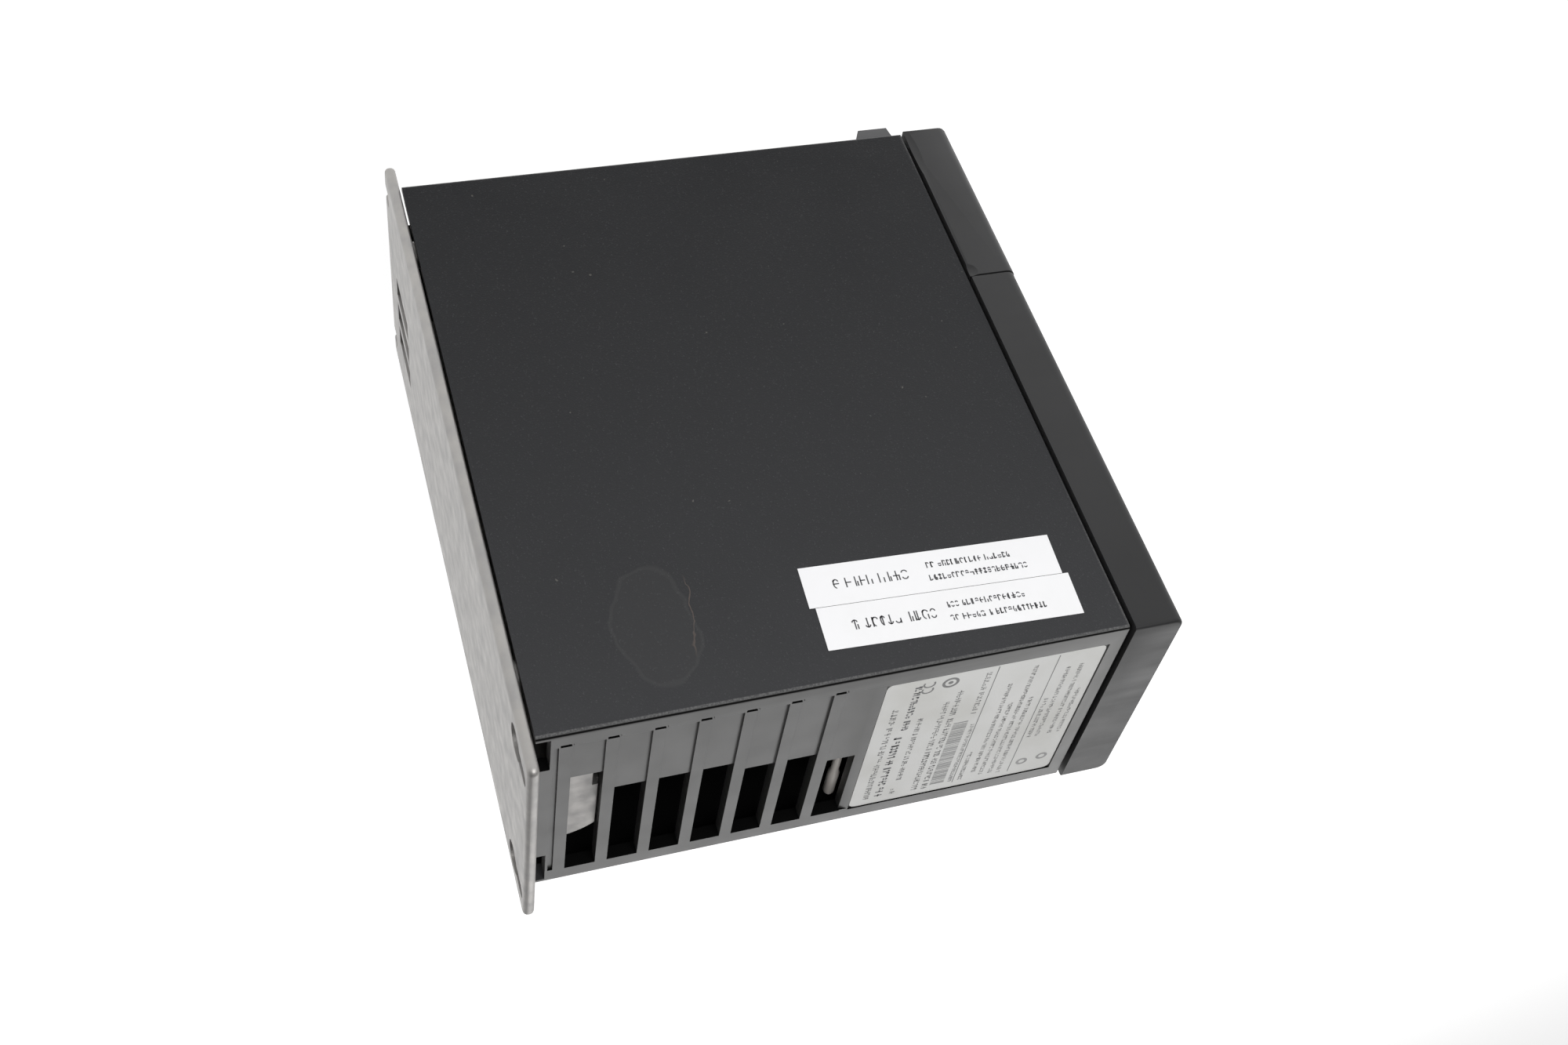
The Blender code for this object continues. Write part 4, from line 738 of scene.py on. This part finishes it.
def add_lathe(shape, profile, place, sides):
    """Turns a profile of (radius, height) about +Z and puts it in place."""
    rings = []
    for radius, height in profile:
        angles = [2 * pi * step / sides for step in range(sides)]
        rings.append([round_vert(shape, place, radius, angle, height) for angle in angles])
    for first, second in zip(rings, rings[1:]):
        for step in range(sides):
            after = (step + 1) % sides
            shape.faces.new((first[step], first[after], second[after], second[step]))
    shape.faces.new(rings[0])
    shape.faces.new(rings[-1])


BLADES = 7
HUB_RADIUS = 9 * MM
SHAFT_RADIUS = 2.2 * MM
BLADE_HALF_THICKNESS = 0.45 * MM
BLADE_STEPS = 6  # divisions of a blade from root to tip and from one side to the other


def build_rotor():
    """The fan's rotor: a hub with a rounded rim and a shallow dimple, and swept, twisted blades."""
    low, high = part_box("fan_rotor")
    middle = (low + high) / 2
    place = Matrix.Translation((middle.x, middle.y, low.z))
    tip = (high.x - low.x) / 2
    thick = high.z - low.z
    shape = bmesh.new()
    profile = [
        (0.2 * MM, 0.5 * MM),
        (SHAFT_RADIUS, 0.5 * MM),
        (SHAFT_RADIUS + 0.4 * MM, 0),
        (HUB_RADIUS - 1.2 * MM, 0),
        (HUB_RADIUS - 0.4 * MM, 0.35 * MM),
        (HUB_RADIUS, 1.2 * MM),
        (HUB_RADIUS, thick),
    ]
    add_lathe(shape, profile, place, 48)
    for index in range(BLADES):
        add_blade(shape, place @ Matrix.Rotation(2 * pi * index / BLADES, 4, "Z"), tip, thick)
    rotor = piece("rotor_with_blades", shape, FINISHES["component_black"], "fan_rotor")
    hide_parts("fan_rotor")


def add_blade(shape, place, tip, thick):
    """One blade, swept forward and flatter towards its tip, rooted just inside the hub."""
    root = HUB_RADIUS - 0.4 * MM
    steps = range(BLADE_STEPS + 1)
    faces = []
    for offset in (-BLADE_HALF_THICKNESS, BLADE_HALF_THICKNESS):
        grid = []
        for across in steps:
            out = across / BLADE_STEPS
            reach = root + (tip - 0.1 * MM - root) * out
            row = []
            for along in steps:
                run = along / BLADE_STEPS
                twist = radians(34 - 10 * out) * (run - 0.5)
                lead = twist + 0.12 * sin(pi * run) + 0.62 * out * out
                height = thick * (0.08 + 0.84 * run)
                row.append(round_vert(shape, place, reach, lead + offset / reach, height))
            grid.append(row)
        faces.append(grid)
    for grid in faces:
        for row, after in zip(grid, grid[1:]):
            for step in range(BLADE_STEPS):
                shape.faces.new((row[step], after[step], after[step + 1], row[step + 1]))
    under, over = (blade_rim(grid) for grid in faces)
    for step in range(len(under)):
        shape.faces.new((under[step - 1], under[step], over[step], over[step - 1]))


def blade_rim(grid):
    """The vertices round the outside of a grid, in order."""
    last = BLADE_STEPS
    rim = [grid[step][0] for step in range(last)] + [grid[last][step] for step in range(last)]
    rim += [grid[last - step][last] for step in range(last)]
    return rim + [grid[0][last - step] for step in range(last)]


TERMINALS = 10  # on each strip


def build_terminal_screws():
    """Slotted clamp screws down in the wells of both terminal strips, each turned differently."""
    shape = bmesh.new()
    for strip in ("control_terminals_upper", "control_terminals_lower"):
        low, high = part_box(strip)
        pitch = (high.x - low.x) / TERMINALS
        height = (low.z + high.z) / 2 + 1.4 * MM
        for index in range(TERMINALS):
            middle = (low.x + pitch * (index + 0.5), low.y + 1.9 * MM, height)
            place = Matrix.Translation(middle) @ Matrix.Rotation(pi / 2, 4, "X")
            add_screw_head(shape, place, radians(35 * index))
    piece("terminal_screws", shape, FINISHES["steel"])


def add_screw_head(shape, place, turn):
    """A flat round head with two raised halves, which leave a slot between them."""
    radius, thick = 1.5 * MM, 0.35 * MM
    profile = [(0.1 * MM, 0), (radius, 0), (radius, thick), (0.1 * MM, thick)]
    add_lathe(shape, profile, place, 16)
    turned = place @ Matrix.Rotation(turn, 4, "Z")
    half_size = Matrix.Diagonal((2.1 * MM, 0.95 * MM, 0.5 * MM, 1))
    for side in (-1, 1):
        middle = Matrix.Translation((0, side * 0.75 * MM, 0.5 * MM))
        bmesh.ops.create_cube(shape, size=1, matrix=turned @ middle @ half_size)


CHIP_SIZES = ((1.6, 0.8), (2.0, 1.2), (1.0, 0.5), (3.0, 2.6))  # millimetres, wide and tall


def build_board_parts():
    """Chips and resistors with soldered ends: two rows above the terminals, and one column each side."""
    dice = random.Random(21)
    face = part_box("control_board")[0].y / MM
    places = [(-29 + 5.4 * column, -33.6 - 3.6 * row) for row in range(2) for column in range(11)]
    places += [(x, -58 - 2.3 * row) for row in range(11) for x in (-29.4, 29.4)]
    chips, solder = bmesh.new(), bmesh.new()
    for x, z in places:
        wide, tall = dice.choice(CHIP_SIZES)
        deep = dice.uniform(0.4, 0.9)
        x += dice.uniform(-0.4, 0.4)
        left, right = x - wide / 2, x + wide / 2
        bottom, top = z - tall / 2, z + tall / 2
        add_box(chips, (left, face - deep, bottom), (right, face - 0.02, top), 0.08)
        for end in (left, right):
            add_box(solder, (end - 0.2, face - 0.35, bottom), (end + 0.2, face - 0.01, top))
    piece("board_chips", chips, FINISHES["component_black"])
    piece("board_solder", solder, FINISHES["steel"])


make_camera()
make_stage()
dress_cad_nodes()
print_nameplate()
print_tags()
print_front()
build_rotor()
build_terminal_screws()
build_board_parts()
